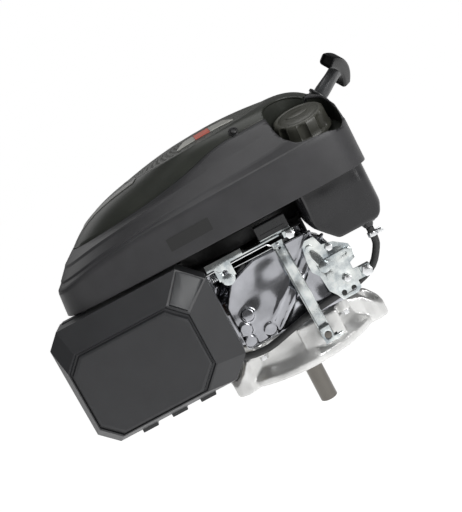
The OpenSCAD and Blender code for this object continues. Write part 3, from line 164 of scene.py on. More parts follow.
LOOKS = {
    "shroud_plastic": dict(color=(0.026, 0.026, 0.0275), rough=0.44, spread=0.10, grain=0.18, grain_scale=1500,
                           tint=(0.030, 0.0295, 0.032), specular=0.4),
    "cover_plastic": dict(color=(0.021, 0.023, 0.0195), rough=0.38, spread=0.12, grain=0.16, grain_scale=1400,
                          tint=(0.025, 0.027, 0.022), specular=0.35),
    "tank_plastic": dict(color=(0.013, 0.013, 0.0145), rough=0.18, spread=0.15, grain=0.02, dents=0.25),
    "iron_dark": dict(color=(0.06, 0.06, 0.06), rough=0.5, metal=0.6, spread=0.2, grain=0.3),
    "cap_plastic": dict(color=(0.042, 0.042, 0.034), rough=0.40, spread=0.12, grain=0.2, grain_scale=1400),
    "air_box_plastic": dict(color=(0.021, 0.0215, 0.0235), rough=0.45, spread=0.12, grain=0.22,
                            grain_scale=1300),
    "strap_plastic": dict(color=(0.021, 0.0225, 0.0245), rough=0.42, spread=0.1, grain=0.2),
    "black_plastic": dict(color=(0.014, 0.0145, 0.0155), rough=0.28, spread=0.15, grain=0.08),
    "handle_plastic": dict(color=(0.003, 0.003, 0.0033), rough=0.30, spread=0.15, grain=0.04, specular=0.16),
    "stem_rubber": dict(color=(0.035, 0.036, 0.038), rough=0.28, spread=0.12, grain=0.08),
    "black_rubber": dict(color=(0.016, 0.016, 0.016), rough=0.5, spread=0.2, grain=0.25),
    "gasket": dict(color=(0.06, 0.06, 0.055), rough=0.8, spread=0.2, grain=0.3),
    "brown_seal": dict(color=(0.10, 0.045, 0.025), rough=0.6, spread=0.2, grain=0.2),
    "cast_aluminium": dict(color=(0.38, 0.385, 0.41), rough=0.17, metal=1.0, spread=0.28, grain=0.08, dents=0.9,
                           grain_scale=420, mottle_scale=14, rough_spread=0.05),
    "sump_aluminium": dict(color=(0.66, 0.66, 0.65), rough=0.36, metal=0.75, spread=0.14, grain=0.35, dents=0.6,
                           grain_scale=620, mottle_scale=18, rough_spread=0.14),
    "machined_steel": dict(color=(0.14, 0.132, 0.12), rough=0.15, metal=1.0, spread=0.10, grain=0.06,
                           grain_scale=300),
    "zinc_plate": dict(color=(0.42, 0.48, 0.52), rough=0.18, metal=1.0, spread=0.3, grain=0.1, dents=0.3,
                       mottle_scale=60, tint=(0.66, 0.68, 0.66)),
    "bright_bolt": dict(color=(0.70, 0.71, 0.72), rough=0.2, metal=1.0, spread=0.1, grain=0.08,
                        mottle_scale=90),
    "brass_plate": dict(color=(0.48, 0.38, 0.17), rough=0.34, metal=1.0, spread=0.15, grain=0.15),
    "filter_paper": dict(color=(0.50, 0.43, 0.29), rough=0.9, spread=0.15, grain=0.3),
    "muffler_steel": dict(color=(0.20, 0.18, 0.16), rough=0.55, metal=0.7, spread=0.25, grain=0.3),
    "black_steel": dict(color=(0.015, 0.015, 0.016), rough=0.4, metal=0.2, spread=0.2, grain=0.15),
    "badge_silver": dict(color=(0.42, 0.42, 0.39), rough=0.38, metal=0.5, spread=0.08, grain=0.05),
    # Light grey of the strip on the cover: a painted highlight, for the light that runs along the cover's left edge
    "stripe_grey": dict(color=(0.19, 0.19, 0.18), rough=0.42, metal=0.3, spread=0.08, grain=0.05),
    # Vent screen plastic, about three times lighter than the cover plastic: a painted sheen, for the light its thin
    # strips catch at a slant
    "screen_plastic": dict(color=(0.062, 0.064, 0.058), rough=0.45, spread=0.12, grain=0.1, specular=0.4),
    "badge_red": dict(color=(0.50, 0.12, 0.085), rough=0.42, spread=0.1, grain=0.05),
    "label_black": dict(color=(0.008, 0.008, 0.008), rough=0.5, spread=0.1, grain=0.05),
    "cord": dict(color=(0.03, 0.03, 0.03), rough=0.8, spread=0.3, grain=0.5, grain_scale=2000),
    "nylon": dict(color=(0.62, 0.58, 0.48), rough=0.5, spread=0.1, grain=0.1),
}
M = {name: new_material(name, **look) for name, look in LOOKS.items()}

floor_material = new_material("floor_pale", (0.93, 0.93, 0.93), 0.8, spread=0.01)
floor_shader = floor_material.node_tree.nodes["Principled BSDF"]
floor_shader.inputs["Emission Color"].default_value = (1, 1, 1, 1)
floor_shader.inputs["Emission Strength"].default_value = FLOOR_GLOW


def link_mesh(name, points, faces, material, angle=None):
    mesh = bpy.data.meshes.new(name)
    mesh.from_pydata([tuple(p) for p in points], [], faces)
    mesh.update()
    obj = bpy.data.objects.new(name, mesh)
    scene.collection.objects.link(obj)
    mesh.materials.append(M[material] if isinstance(material, str) else material)
    mesh.shade_smooth()
    if angle is not None:
        mesh.set_sharp_from_angle(angle=math.radians(angle))
    return obj


FLOOR_Z = -0.55
FLOOR_SIZE = 60.0
floor_corners = [(x * FLOOR_SIZE, y * FLOOR_SIZE, FLOOR_Z) for x, y in ((-1, -1), (1, -1), (1, 1), (-1, 1))]
floor = link_mesh("floor", floor_corners, [(0, 1, 2, 3)], floor_material)

# ------------------------------------------------------------------ finish of the CAD pieces

NODE_LOOK = {
    "sump": "sump_aluminium", "crankcase": "cast_aluminium", "cylinder_head": "cast_aluminium",
    "fuel_cap": "cap_plastic", "governor_arm": "zinc_plate", "cover_latch": "strap_plastic",
    "starter_handle": "handle_plastic", "fuel_tank": "tank_plastic", "flywheel": "iron_dark",
    "cover_screws": "black_steel", "baffle_plate": "black_steel",
}
# Node: voxel size in mm and rounds of smoothing
CASTINGS = {"sump": (1.5, 5), "crankcase": (1.3, 3), "cylinder_head": (1.3, 3), "carburetor": (0.7, 3),
            "fuel_tank": (1.6, 26)}
# Nodes that finer pieces replace and that need no bevel
NO_BEVEL = ("shroud", "top_cover", "vent_screen")
EDGE_WIDTH = 0.35

slots = {s["node"]: s["material_slot"] for s in frame["record"]["subparts"]}
for node, obj in NODES.items():
    look = NODE_LOOK.get(node, slots[node])
    obj.data.materials.clear()
    obj.data.materials.append(M[look])
    for polygon in obj.data.polygons:
        polygon.material_index = 0
    obj.data.shade_smooth()
    weld = obj.modifiers.new("weld", "WELD")
    weld.merge_threshold = 1e-6
    if node in CASTINGS:
        remesh = obj.modifiers.new("cast", "REMESH")
        remesh.mode = "VOXEL"
        remesh.voxel_size = CASTINGS[node][0] * MM
        remesh.use_smooth_shade = True
        smooth = obj.modifiers.new("fillet", "SMOOTH")
        smooth.factor = 0.5
        smooth.iterations = CASTINGS[node][1]
    elif node not in NO_BEVEL:
        bevel = obj.modifiers.new("edge", "BEVEL")
        bevel.width = EDGE_WIDTH * MM
        bevel.segments = 2
        bevel.limit_method = "ANGLE"
        bevel.angle_limit = math.radians(32)
        bevel.harden_normals = True

# ------------------------------------------------------------------ lofted skins


def mix(a, b, s):
    return a * (1 - s) + b * s


def ramp_value(table, x):
    if x <= table[0][0]:
        return table[0][1]
    for (x0, z0), (x1, z1) in zip(table, table[1:]):
        if x <= x1:
            return mix(z0, z1, (x - x0) / (x1 - x0))
    return table[-1][1]


def smooth_ramp(table, x, reach=16):
    """The height line with its corners rounded over a short reach."""
    return sum(ramp_value(table, x + reach * k / 3) for k in range(-3, 4)) / 7


def outline(left, right, half_w, square_l, square_r, a):
    c, s = math.cos(a), math.sin(a)
    e = 2 / square_l if c < 0 else 2 / square_r
    middle, half = (left + right) / 2, (right - left) / 2
    return middle + half * math.copysign(abs(c) ** e, c), half_w * math.copysign(abs(s) ** e, s)


def even_angles(left, right, half_w, square_l, square_r, count):
    """Angles that space points evenly round an outline, so that the corners stay round."""
    fine = 4000
    points = [outline(left, right, half_w, square_l, square_r, 2 * math.pi * i / fine) for i in range(fine + 1)]
    run = [0.0]
    for p, q in zip(points, points[1:]):
        run.append(run[-1] + math.dist(p, q))
    angles, k = [], 0
    for i in range(count):
        want = run[-1] * i / count
        while run[k + 1] < want:
            k += 1
        angles.append(2 * math.pi * (k + (want - run[k]) / (run[k + 1] - run[k])) / fine)
    return angles


LEFT, RIGHT, HALF_W, EDGE_Z = -217, 152, 148, 184
edge_z = [(-217, EDGE_Z - 2), (-160, EDGE_Z), (152, EDGE_Z)]
band_z = [(-214, 209), (-146, 222), (-94, 227.5), (26, 229.5), (152, 232)]
ledge_z = [(-209, 215), (-146, 227), (-77, 232), (-8, 235), (61, 239), (110, 245), (151, 250)]
strip_z = [(-200, 226), (-150, 236), (-78, 244), (-8, 250), (62, 255.5), (148, 262)]
step_z = [(-186, 238), (-130, 244), (-79, 249.5), (-29, 258), (14, 270), (81, 271), (142, 270)]
SHROUD_LEVELS = [
    (LEFT, RIGHT, HALF_W, 5.5, 9, edge_z, 0), (LEFT + 1, RIGHT, HALF_W, 5.5, 9, edge_z, 9),
    (LEFT + 3, RIGHT, HALF_W, 5.5, 9, band_z, -3), (LEFT + 4, RIGHT, HALF_W - 0.6, 5.5, 9, band_z, 0),
    (LEFT + 6, RIGHT - 0.3, HALF_W - 2.5, 5.5, 9, band_z, 1.6),
    (LEFT + 9, RIGHT - 1.2, HALF_W - 5.5, 5, 8, ledge_z, -1),
    (LEFT + 10, RIGHT - 1.4, HALF_W - 7, 5, 8, ledge_z, 1),
    (LEFT + 17, RIGHT - 4, HALF_W - 22, 4, 6, strip_z, -1),
    (LEFT + 19, RIGHT - 5, HALF_W - 25, 4, 6, strip_z, 1.5),
    (LEFT + 29, RIGHT - 10, HALF_W - 37, 3, 4, step_z, -2),
    (LEFT + 32, RIGHT - 13, HALF_W - 41, 2.8, 3.6, step_z, 0)]


def level_point(level, a):
    x, y = outline(*level[:5], a)
    return Vector((x, y, smooth_ramp(level[5], x) + level[6]))


SKIN_STEPS = 288
SPAN_SHARES = (0, 0.1, 0.35, 0.65, 0.9)
shroud_angles = even_angles(*SHROUD_LEVELS[3][:5], SKIN_STEPS)


def skin_rings(levels, angles, shares):
    """Rings at the given shares of each span between levels, and one at the last level."""
    rings = []
    for low, high in zip(levels, levels[1:]):
        for share in shares:
            rings.append([level_point(low, a).lerp(level_point(high, a), share) for a in angles])
    rings.append([level_point(levels[-1], a) for a in angles])
    return rings


def band_faces(rows, count):
    """Quads between each ring of points and the next."""
    return [(i * count + j, i * count + (j + 1) % count, (i + 1) * count + (j + 1) % count, (i + 1) * count + j)
            for i in range(rows - 1) for j in range(count)]


def ring_mesh(name, rings, material, angle=40, closed=False):
    """Skin over the rings, with both ends filled where it is closed."""
    rows, count = len(rings), len(rings[0])
    faces = band_faces(rows, count)
    if closed:
        faces += [tuple(range(count - 1, -1, -1)), tuple((rows - 1) * count + j for j in range(count))]
    return link_mesh(name, [p * MM for ring in rings for p in ring], faces, material, angle)


def revolve(name, matrix, rings, count, material, angle=40):
    """Closed solid of rings (z, radius at an angle), from the lowest to the highest."""
    turns = [2 * math.pi * i / count for i in range(count)]
    return ring_mesh(name, [[matrix @ Vector((radius(t) * math.cos(t), radius(t) * math.sin(t), z)) for t in turns]
                            for z, radius in rings], material, angle, closed=True)


def plain(r):
    return lambda t: r


def bake(obj):
    """Applies every modifier of the object."""
    graph = bpy.context.evaluated_depsgraph_get()
    mesh = bpy.data.meshes.new_from_object(obj.evaluated_get(graph), depsgraph=graph)
    obj.modifiers.clear()
    obj.data = mesh
    return obj


def thicken(obj, thickness):
    solid = obj.modifiers.new("wall", "SOLIDIFY")
    solid.thickness = thickness * MM
    solid.offset = -1
    return obj


def cut_with(obj, cutter):
    cut = obj.modifiers.new("cut", "BOOLEAN")
    cut.operation = "DIFFERENCE"
    cut.solver = "MANIFOLD"
    cut.object = cutter
    bake(obj)
    bpy.data.objects.remove(cutter)
    return obj


# Places of the fuel cap and of the rope guide; the bay reaches these radii back, left, right and to the front
CAP_AT = Vector((108, -88, 228))
CAP_TILT = math.radians(17)
cap_frame = Matrix.Translation(CAP_AT) @ Matrix.Rotation(CAP_TILT, 4, "X")
BAY_R, BAY_LEFT, BAY_RIGHT, BAY_FRONT = 33, 33.2, 39, 52.5
GUIDE_AT = Vector((150, 0, 257))
ROPE_TILT = math.radians(30)
GUIDE_R = 12.5
guide_frame = Matrix.Translation(GUIDE_AT) @ Matrix.Rotation(math.radians(90) - ROPE_TILT, 4, "Y")

shroud = ring_mesh("shroud_skin", skin_rings(SHROUD_LEVELS, shroud_angles, SPAN_SHARES), "shroud_plastic", 60)

# ------------------------------------------------------------------ top cover

CROWN_R, CROWN_Z, CROWN_TILT = 97, 281, math.radians(2.6)
COVER_RIM = (LEFT + 34, RIGHT - 15, HALF_W - 42.8, 2.8, 3.6, step_z, 1.2)


def crown_point(r, a):
    """Point on the tilted plane at the top of the cover, round the crankshaft's axis."""
    return Vector((r * math.cos(a), r * math.sin(a), CROWN_Z + r * math.cos(a) * math.sin(CROWN_TILT)))


def cover_point(a, s):
    """Point on the domed cover, a share of the way in from its rim to the crown."""
    rim = level_point(COVER_RIM, a)
    top = crown_point(CROWN_R, math.atan2(rim.y, rim.x))
    bulge = 2.2 + 0.055 * (rim.xy - top.xy).length
    return rim.lerp(top, s) + Vector((0, 0, bulge * 4 * s * (1 - s) * (1.3 - 0.6 * s)))


cover_angles = even_angles(*COVER_RIM[:5], SKIN_STEPS)
COVER_SPANS = 24
LIP_DROP = 2.4
lip = [level_point(COVER_RIM, a) - Vector((0, 0, LIP_DROP)) for a in cover_angles]
cover_rings = [lip] + [[cover_point(a, k / COVER_SPANS) for a in cover_angles] for k in range(COVER_SPANS + 1)]
top_cover = ring_mesh("top_cover_skin", cover_rings, "cover_plastic", 50)

skin_trees = [BVHTree.FromPolygons([v.co.copy() for v in o.data.vertices],
                                   [tuple(p.vertices) for p in o.data.polygons]) for o in (shroud, top_cover)]


def surface_along(matrix, r, a, start):
    """Where a line parallel to a frame's axis, coming down at a radius and angle, first meets the two skins."""
    origin = matrix @ Vector((r * math.cos(a), r * math.sin(a), start)) * MM
    down = (matrix.to_3x3() @ Vector((0, 0, -1))).normalized()
    hits = [tree.ray_cast(origin, down) for tree in skin_trees]
    hits = [h for h in hits if h[0] is not None]
    return min(hits, key=lambda h: h[3])[0] / MM if hits else None


WELL_STEPS, WELL_FLOOR, WELL_INNER_R = 144, 3, 22
well_angles = [2 * math.pi * i / WELL_STEPS for i in range(WELL_STEPS)]


def bay_r(a):
    """Radius of the bay round the cap: a half ellipse at the back, squarer and deeper at the front."""
    side = BAY_RIGHT if math.cos(a) > 0 else BAY_LEFT
    if math.sin(a) >= 0:
        return (abs(math.cos(a) / side) ** 2 + abs(math.sin(a) / BAY_R) ** 2) ** -0.5
    return (abs(math.cos(a) / side) ** 4 + abs(math.sin(a) / BAY_FRONT) ** 4) ** -0.25


def cap_point(r, a, z):
    return cap_frame @ Vector((r * math.cos(a), r * math.sin(a), z))


well_top, well_low = [], []
for a in well_angles:
    r = bay_r(a) + 0.3
    hit = surface_along(cap_frame, r, a, 90)
    well_top.append(hit if hit is not None else cap_point(r, a, 12))
    well_low.append(cap_point(0.97 * r, a, WELL_FLOOR))
inner_low = [cap_point(WELL_INNER_R, a, WELL_FLOOR) for a in well_angles]
rounded_top = [t.lerp(l, 0.04) for t, l in zip(well_top, well_low)]
cap_well = ring_mesh("cap_well", [well_top, rounded_top, well_low, inner_low], "cover_plastic", 40)
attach(cap_well, "engine")


def bay_cutter():
    return ring_mesh("bay_cutter", [[cap_point(bay_r(a), a, z) for a in well_angles] for z in (0, 80)],
                     "shroud_plastic", closed=True)


SHROUD_WALL, COVER_WALL = 3, 2.6
thicken(shroud, SHROUD_WALL)
bake(shroud)
cut_with(shroud, bay_cutter())
cut_with(shroud, revolve("guide_cutter", guide_frame, [(-20, plain(GUIDE_R)), (20, plain(GUIDE_R))], 64,
                         "shroud_plastic", 30))
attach(shroud, "engine")
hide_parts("shroud")

thicken(top_cover, COVER_WALL)
bake(top_cover)
cut_with(top_cover, bay_cutter())
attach(top_cover, "engine")
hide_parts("top_cover")

# Perforated cap over the fan: in every other ring of cells, pairs are open and closed in turn
SCREEN_R, SCREEN_RISE, SCREEN_T = CROWN_R - 1.6, 9, 1.3
SCREEN_BANDS, SCREEN_STEPS, HUB_R = 25, 216, 30


def screen_point(r, a):
    s = r / SCREEN_R
    return crown_point(r, a) + Vector((0, 0, SCREEN_RISE * (1 - s * s)))


screen_points = [screen_point(mix(HUB_R, SCREEN_R, k / SCREEN_BANDS), 2 * math.pi * i / SCREEN_STEPS) * MM
                 for k in range(SCREEN_BANDS + 1) for i in range(SCREEN_STEPS)]
dome_faces, screen_faces = [], []
for k in range(SCREEN_BANDS):
    for i in range(SCREEN_STEPS):
        a, b = k * SCREEN_STEPS + i, k * SCREEN_STEPS + (i + 1) % SCREEN_STEPS
        cell = (a, a + SCREEN_STEPS, b + SCREEN_STEPS, b)
        dome_faces.append(cell)
        is_open = k < SCREEN_BANDS - 2 and k % 2 == 1 and (i + 2 * (k // 2)) % 4 < 2
        if not is_open:
            screen_faces.append(cell)
centre_index = len(screen_points)
screen_points.append(screen_point(0, 0) * MM)
screen_faces += [(i, (i + 1) % SCREEN_STEPS, centre_index) for i in range(SCREEN_STEPS)]
screen = link_mesh("vent_grille", screen_points, screen_faces, "screen_plastic", 50)
thicken(screen, SCREEN_T)
bake(screen)
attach(screen, "engine")
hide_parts("vent_screen")

# ------------------------------------------------------------------ fuel cap


def gripped(r, depth):
    """A radius with eight shallow grips round it, each with a raised rib at its edge."""
    def radius(t):
        swing = math.cos(8 * t + 1.2)
        return r - depth * max(0.0, swing) ** 0.7 + 0.5 * math.exp(-((swing - 0.05) / 0.12) ** 2)
    return radius


cap_rings = [(9.2, plain(31.0)), (9.0, plain(31.5)), (11.5, plain(31.5)), (12.6, plain(30.8)),
             (13.4, gripped(30.3, 2.2)), (18, gripped(30.1, 2.8)), (26, gripped(29.6, 3.2)),
             (28.4, gripped(29.3, 2.4)),
             (30.2, gripped(28.6, 0.9)), (31.4, plain(27.4)), (32.0, plain(25.8)), (32.1, plain(24.2)),
             (31.5, plain(23.4)), (31.3, plain(22.4)), (31.9, plain(21.2)), (32.6, plain(18)), (32.9, plain(12)),
             (33.0, plain(2))]
cap = revolve("cap_shell", cap_frame, cap_rings, 288, "cap_plastic", 50)
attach(cap, "cap")
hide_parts("fuel_cap")

# Blank raised oval on the cap's top
cap_mark = revolve("cap_mark", cap_frame, [
    (32.0, lambda t: 13 / math.hypot(math.cos(t), 1.9 * math.sin(t))),
    (33.3, lambda t: 13 / math.hypot(math.cos(t), 1.9 * math.sin(t))),
    (33.7, lambda t: 12.2 / math.hypot(math.cos(t), 1.95 * math.sin(t)))], 96, "cap_plastic", 50)
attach(cap_mark, "cap")

# ------------------------------------------------------------------ starter handle and rope

rope_dir = Vector((math.cos(ROPE_TILT), 0, math.sin(ROPE_TILT)))
handle_frame = Matrix.Translation(GUIDE_AT + 11 * rope_dir) @ Matrix.Rotation(-ROPE_TILT, 4, "Y")
GRIP_BEND, GRIP_HALF, GRIP_ROLL = 88, math.radians(26), math.radians(-29)
grip_frame = handle_frame @ Matrix.Translation((29, 0, 0)) @ Matrix.Rotation(GRIP_ROLL, 4, "X") \
    @ Matrix.Translation((8 - GRIP_BEND, 0, 0))


def round_section(half_x, half_y, r, steps=6):
    """Corner-rounded rectangle as (x, y) points."""
    points = []
    for cx, cy, start in ((1, 1, 0), (-1, 1, 90), (-1, -1, 180), (1, -1, 270)):
        for k in range(steps + 1):
            a = math.radians(start + 90 * k / steps)
            points.append((cx * (half_x - r) + r * math.cos(a), cy * (half_y - r) + r * math.sin(a)))
    return points


GRIP_STEPS = 40


def grip_ring(angle, half_x, half_y, r):
    return [grip_frame @ Vector(((GRIP_BEND + x) * math.cos(angle), (GRIP_BEND + x) * math.sin(angle), y))
            for x, y in round_section(half_x, half_y, r)]


# Each end: angle inside the tip, half sizes and corner radius, from the floor of the recess out to the rim
GRIP_END = ((0.05, 5.2, 6.2, 1.5), (0.002, 5.4, 6.4, 1.6), (0, 6.2, 7.2, 2.4))
END_GAP = 0.012
grip_rings = [grip_ring(inside - GRIP_HALF, *section) for inside, *section in GRIP_END]
for k in range(GRIP_STEPS + 1):
    s = 2 * k / GRIP_STEPS - 1
    grip_rings.append(grip_ring((GRIP_HALF - END_GAP) * s, 7.8 * (1 - 0.10 * s * s), 9 * (1 - 0.07 * s * s), 4.2))
grip_rings += [grip_ring(GRIP_HALF - inside, *section) for inside, *section in reversed(GRIP_END)]
grip = ring_mesh("grip", grip_rings, "handle_plastic", 40, closed=True)
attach(grip, "handle")
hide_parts("starter_handle")

roll = Matrix.Rotation(GRIP_ROLL, 4, "X")
# Sections of the stem: place along it, half sizes and corner radius
STEM = ((-3.2, 7.4, 7.4, 7.2), (-3.6, 8.6, 8.6, 8.4), (-1, 9.0, 9.0, 8.6), (5, 8.8, 8.5, 7.6), (13, 8.2, 7.6, 6),
        (20, 7.8, 7.0, 5), (26, 8.6, 6.8, 4.6), (30, 10.4, 7.0, 4.6), (34, 13.0, 7.4, 4.6))
stem_rings = [[handle_frame @ roll @ Vector((x, y, z)) for y, z in round_section(*section)] for x, *section in STEM]
stem = ring_mesh("grip_stem", stem_rings, "stem_rubber", 50, closed=True)
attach(stem, "handle")


def sweep(name, path, radius, count, material, twist):
    """Round tube along a path, its radius changed by twist(length, angle)."""
    rings, run, side = [], 0.0, Vector((0, 1, 0.013))
    for i, p in enumerate(path):
        ahead = (path[min(i + 1, len(path) - 1)] - path[max(i - 1, 0)]).normalized()
        if i:
            run += (p - path[i - 1]).length
        side = (side - ahead * side.dot(ahead)).normalized()
        up = ahead.cross(side)
        ring = []
        for k in range(count):
            a = 2 * math.pi * k / count
            r = radius * twist(run, a)
            ring.append(p + side * (r * math.cos(a)) + up * (r * math.sin(a)))
        rings.append(ring)
    return ring_mesh(name, rings, material, 60, closed=True)


def smooth_path(points, step):
    """Catmull-Rom curve through the points, with samples about one step apart."""
    path = []
    whole = [2 * points[0] - points[1]] + points + [2 * points[-1] - points[-2]]
    for p0, p1, p2, p3 in zip(whole, whole[1:], whole[2:], whole[3:]):
        parts = max(2, round((p2 - p1).length / step))
        for k in range(parts):
            t = k / parts
            path.append(0.5 * (2 * p1 + (p2 - p0) * t + (2 * p0 - 5 * p1 + 4 * p2 - p3) * t * t
                               + (3 * p1 - p0 - 3 * p2 + p3) * t ** 3))
    return path + [points[-1]]


def laid_rope(run, a):
    """Three strands laid round the rope."""
    return 1 + 0.09 * math.cos(3 * a - run * 1.5)


ROPE_R, WOUND_R, WOUND_Z, WOUND_STEPS = 2, 28, 238, 90
rope_points = [Vector(p) for p in ((0, -WOUND_R, WOUND_Z), (40, -22.5, 239.6), (72, -17, 245.5), (110, -8, 251),
                                   (138, -1, 253), (146, 0, 254.7))]
rope_start = GUIDE_AT + rope_dir * 5
wound = [Vector((WOUND_R * math.cos(a), WOUND_R * math.sin(a), WOUND_Z)) for a in
         (math.radians(-342 + 250 * k / WOUND_STEPS) for k in range(WOUND_STEPS + 1))]
inner_rope = sweep("rope_inside", wound + smooth_path(rope_points, 2.5) + [rope_start], ROPE_R, 15, "cord", laid_rope)
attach(inner_rope, "engine")
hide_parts("starter_rope")

PULLED_LENGTH, PULLED_STEPS = 22, 44
pulled = [rope_start + rope_dir * (PULLED_LENGTH * k / PULLED_STEPS) for k in range(PULLED_STEPS + 1)]
pulled_rope = sweep("rope_pulled", pulled, ROPE_R * 0.98, 15, "cord", laid_rope)
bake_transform(pulled_rope)

# ------------------------------------------------------------------ trim on the covers


# A ray that slips through the gap round the vent cap is tried again this far to each side
NUDGES = ((0, 0), (2.5, 0), (-2.5, 0), (0, 2.5), (0, -2.5))


def patch(name, matrix, corners, thickness, material, steps=(14, 6), reach=60, trees=skin_trees, raised=0.3):
    """Four-cornered plate laid on the covers: its corners are in the frame's XY plane and it drops along -Z."""
    down = (matrix.to_3x3() @ Vector((0, 0, -1))).normalized()
    c = [Vector((x, y, reach)) for x, y in corners]
    low, high = [], []
    for j in range(steps[1] + 1):
        for i in range(steps[0] + 1):
            s, t = i / steps[0], j / steps[1]
            p = c[0].lerp(c[1], s).lerp(c[3].lerp(c[2], s), t)
            for nudge in NUDGES:
                origin = (matrix @ (p + Vector((*nudge, 0)))) * MM
                hits = [h[3] for h in (tree.ray_cast(origin, down) for tree in trees) if h[0] is not None]
                if hits:
                    break
            spot = matrix @ p + down * (min(hits) / MM)
            low.append(spot - down * raised)
            high.append(spot - down * (raised + thickness))
    n, m = steps[0] + 1, steps[1] + 1
    faces = []
    for j in range(m - 1):
        for i in range(n - 1):
            a = j * n + i
            faces.append((a, a + n, a + n + 1, a + 1))
            a += n * m
            faces.append((a, a + 1, a + n + 1, a + n))
    rim = list(range(n)) + [j * n + n - 1 for j in range(1, m)]
    rim += [(m - 1) * n + i for i in range(n - 2, -1, -1)] + [j * n for j in range(m - 2, 0, -1)]
    for p, q in zip(rim, rim[1:] + rim[:1]):
        faces.append((p, q, q + n * m, p + n * m))
    return link_mesh(name, [p * MM for p in low + high], faces, material, 40)


# The covers with the vent cap as if it had no openings
closed_trees = [BVHTree.FromPolygons(screen_points, dome_faces)] + skin_trees
upright = Matrix.Translation((0, 0, 250))
badge_parts = {
    "badge_left": ([(-24, -76), (-1, -76), (-1, -50), (-13, -50)], "badge_silver"),
    "badge_red": ([(-0.6, -76), (17.6, -76), (17.6, -50), (-0.6, -50)], "badge_red"),
    "badge_right": ([(18, -76), (46, -76), (37, -50), (18, -50)], "badge_silver"),
}
for name, (corners, look) in badge_parts.items():
    piece = patch(name, upright, corners, 1.2, look, trees=closed_trees)
    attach(piece, "engine")
    if name == "badge_red":
        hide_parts("cover_badge")

# Grey strip laid along the left edge of the cover: a painted highlight where light runs along that edge
painted_highlight_strip = patch("cover_painted_highlight", upright, [(-162, -38), (-84, -66), (-79, -56), (-158, -22)], 0.8, "stripe_grey",
               steps=(30, 4), trees=closed_trees)
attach(painted_highlight_strip, "engine")

# Cover screws near the rim: one in front at a set X, the others round the back at set angles
SCREW_X, SCREW_SHARE, SCREW_STEP = 39, 0.12, 0.03
front_screw = min((2 * math.pi * k / 720 for k in range(361, 720)),
                  key=lambda t: abs(cover_point(t, SCREW_SHARE).x - SCREW_X))
SCREW_RINGS = [(-0.2, plain(5.6)), (0.7, plain(5.6)), (0.9, plain(5.0)), (0.5, plain(4.6)), (0.5, plain(4.0)),
               (2.6, plain(3.7)), (3.2, plain(2.6)), (2.2, plain(2.2)), (2.2, plain(0.6))]
for i, angle in enumerate((front_screw, math.radians(38), math.radians(95), math.radians(150))):
    seat = cover_point(angle, SCREW_SHARE)
    out = (cover_point(angle + SCREW_STEP, SCREW_SHARE) - seat).cross(
        cover_point(angle, SCREW_SHARE + SCREW_STEP) - seat).normalized()
    place = Matrix.Translation(seat) @ out.to_track_quat("Z", "Y").to_matrix().to_4x4()
    screw = revolve("cover_screw_%d" % i, place, SCREW_RINGS, 40, "black_steel", 30)
    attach(screw, "engine")
    if i == 0:
        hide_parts("cover_screws")

# Blank recessed plate on the front band
face_on = Matrix.Rotation(math.radians(90), 4, "X")
plate = patch("band_plate", face_on, [(-78, 196.7), (-29, 197.5), (-29, 211.4), (-78, 210.6)], 0.5, "label_black",
              reach=200, raised=-0.2)
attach(plate, "engine")

# ------------------------------------------------------------------ air box cover

AIR_LEFT, AIR_RIGHT, AIR_BOTTOM, AIR_TOP, AIR_SEAM, AIR_SIDE = -238, -60, 45, 180, -113, 40


def face_ring(inset, y, cuts=(15, 24, 18, 21)):
    """Eight corners of the cover's face, brought in by left, right, bottom and top insets."""
    l, r, b, t = AIR_LEFT + inset[0], AIR_RIGHT - inset[1], AIR_BOTTOM + inset[2], AIR_TOP - inset[3]
    tl, tr, bl, br = cuts
    corners = ((l + bl, b), (r - br, b), (r, b + br), (r, t - tr), (r - tr, t), (l + tl, t), (l, t - tl), (l, b + bl))
    return [Vector((x, y, z)) for x, z in corners]


# From the seam out to the chamfer, down into the groove and up to the raised panel
PANEL_CUTS = (15, 18, 18, 21)
PANEL = (((8.4, 30, 8.4, 26), -172.2), ((9.6, 31.4, 9.6, 27.4), -172.6), ((10.4, 32.4, 10.4, 28.4), -170.9),
         ((11.6, 33.8, 11.6, 29.8), -170.9), ((12.5, 35, 12.5, 31), -175.4), ((14.5, 37, 14.5, 33), -176))
box_rings = [face_ring((3, 3, 3, 3), AIR_SEAM), face_ring((0, 0, 0, 0), AIR_SEAM),
             face_ring((0, 0, 0, 0), AIR_SEAM - AIR_SIDE)] + [face_ring(inset, y, PANEL_CUTS) for inset, y in PANEL]
inside = [face_ring((14, 35, 14, 32), -168.5, PANEL_CUTS), face_ring((3.2, 3.2, 3.2, 3.2), AIR_SEAM - AIR_SIDE + 1),
          face_ring((3.1, 3.1, 3.1, 3.1), AIR_SEAM + 0.1)]


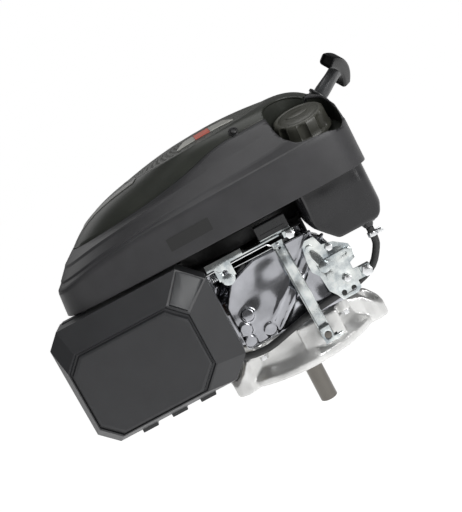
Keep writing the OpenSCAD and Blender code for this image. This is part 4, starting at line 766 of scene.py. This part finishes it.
def shell_mesh(name, outer, inner, material, bevel):
    """Closed skin: the outer rings to a flat front, the inner rings back to the open rear, joined at the rim."""
    count = len(outer[0])
    rings = outer + inner
    points = [p * MM for ring in rings for p in ring]
    faces = []
    for i in list(range(len(outer) - 1)) + list(range(len(outer), len(rings) - 1)):
        for j in range(count):
            k = (j + 1) % count
            faces.append((i * count + j, (i + 1) * count + j, (i + 1) * count + k, i * count + k))
    last = len(rings) - 1
    faces += [(last * count + j, j, (j + 1) % count, last * count + (j + 1) % count) for j in range(count)]
    front = (len(outer) - 1) * count
    faces.append(tuple(front + j for j in range(count)))
    faces.append(tuple(front + count + j for j in range(count - 1, -1, -1)))
    obj = link_mesh(name, points, faces, material, 20)
    edge = obj.modifiers.new("edge", "BEVEL")
    edge.width = bevel * MM
    edge.segments = 3
    edge.limit_method = "ANGLE"
    edge.angle_limit = math.radians(12)
    edge.harden_normals = True
    return obj


box_cover = shell_mesh("air_cover_shell", box_rings, inside, "air_box_plastic", 0.9)
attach(box_cover, "air_cover")
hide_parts("air_box_cover")

# ------------------------------------------------------------------ small solid pieces


def block(name, low, high, material, body, bevel=1.0):
    """Rectangular piece with soft edges between two corners."""
    (x0, y0, z0), (x1, y1, z1) = low, high
    points = [Vector(p) * MM for p in ((x0, y0, z0), (x1, y0, z0), (x1, y1, z0), (x0, y1, z0),
                                       (x0, y0, z1), (x1, y0, z1), (x1, y1, z1), (x0, y1, z1))]
    faces = [(3, 2, 1, 0), (4, 5, 6, 7), (0, 1, 5, 4), (1, 2, 6, 5), (2, 3, 7, 6), (3, 0, 4, 7)]
    obj = link_mesh(name, points, faces, material, 30)
    edge = obj.modifiers.new("edge", "BEVEL")
    edge.width = bevel * MM
    edge.segments = 3
    edge.harden_normals = True
    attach(obj, body)
    return obj


block("control_box", (8.4, -106.8, 156.5), (45.6, -93.4, 172.1), "black_plastic", "engine")
block("control_box_rib", (12, -107.6, 160), (42, -106.6, 162.2), "black_plastic", "engine", 0.4)
for i, x in enumerate((-205, -112)):
    block("box_top_tab_%d" % i, (x - 14, -125, 178.5), (x + 14, -114, 181.4), "air_box_plastic", "air_cover",
          0.6)
for i, x in enumerate((-186, -151, -117)):
    block("box_tab_%d" % i, (x - 9, -151, 40.4), (x + 9, -136, 45.2), "black_plastic", "air_cover",
          0.8)
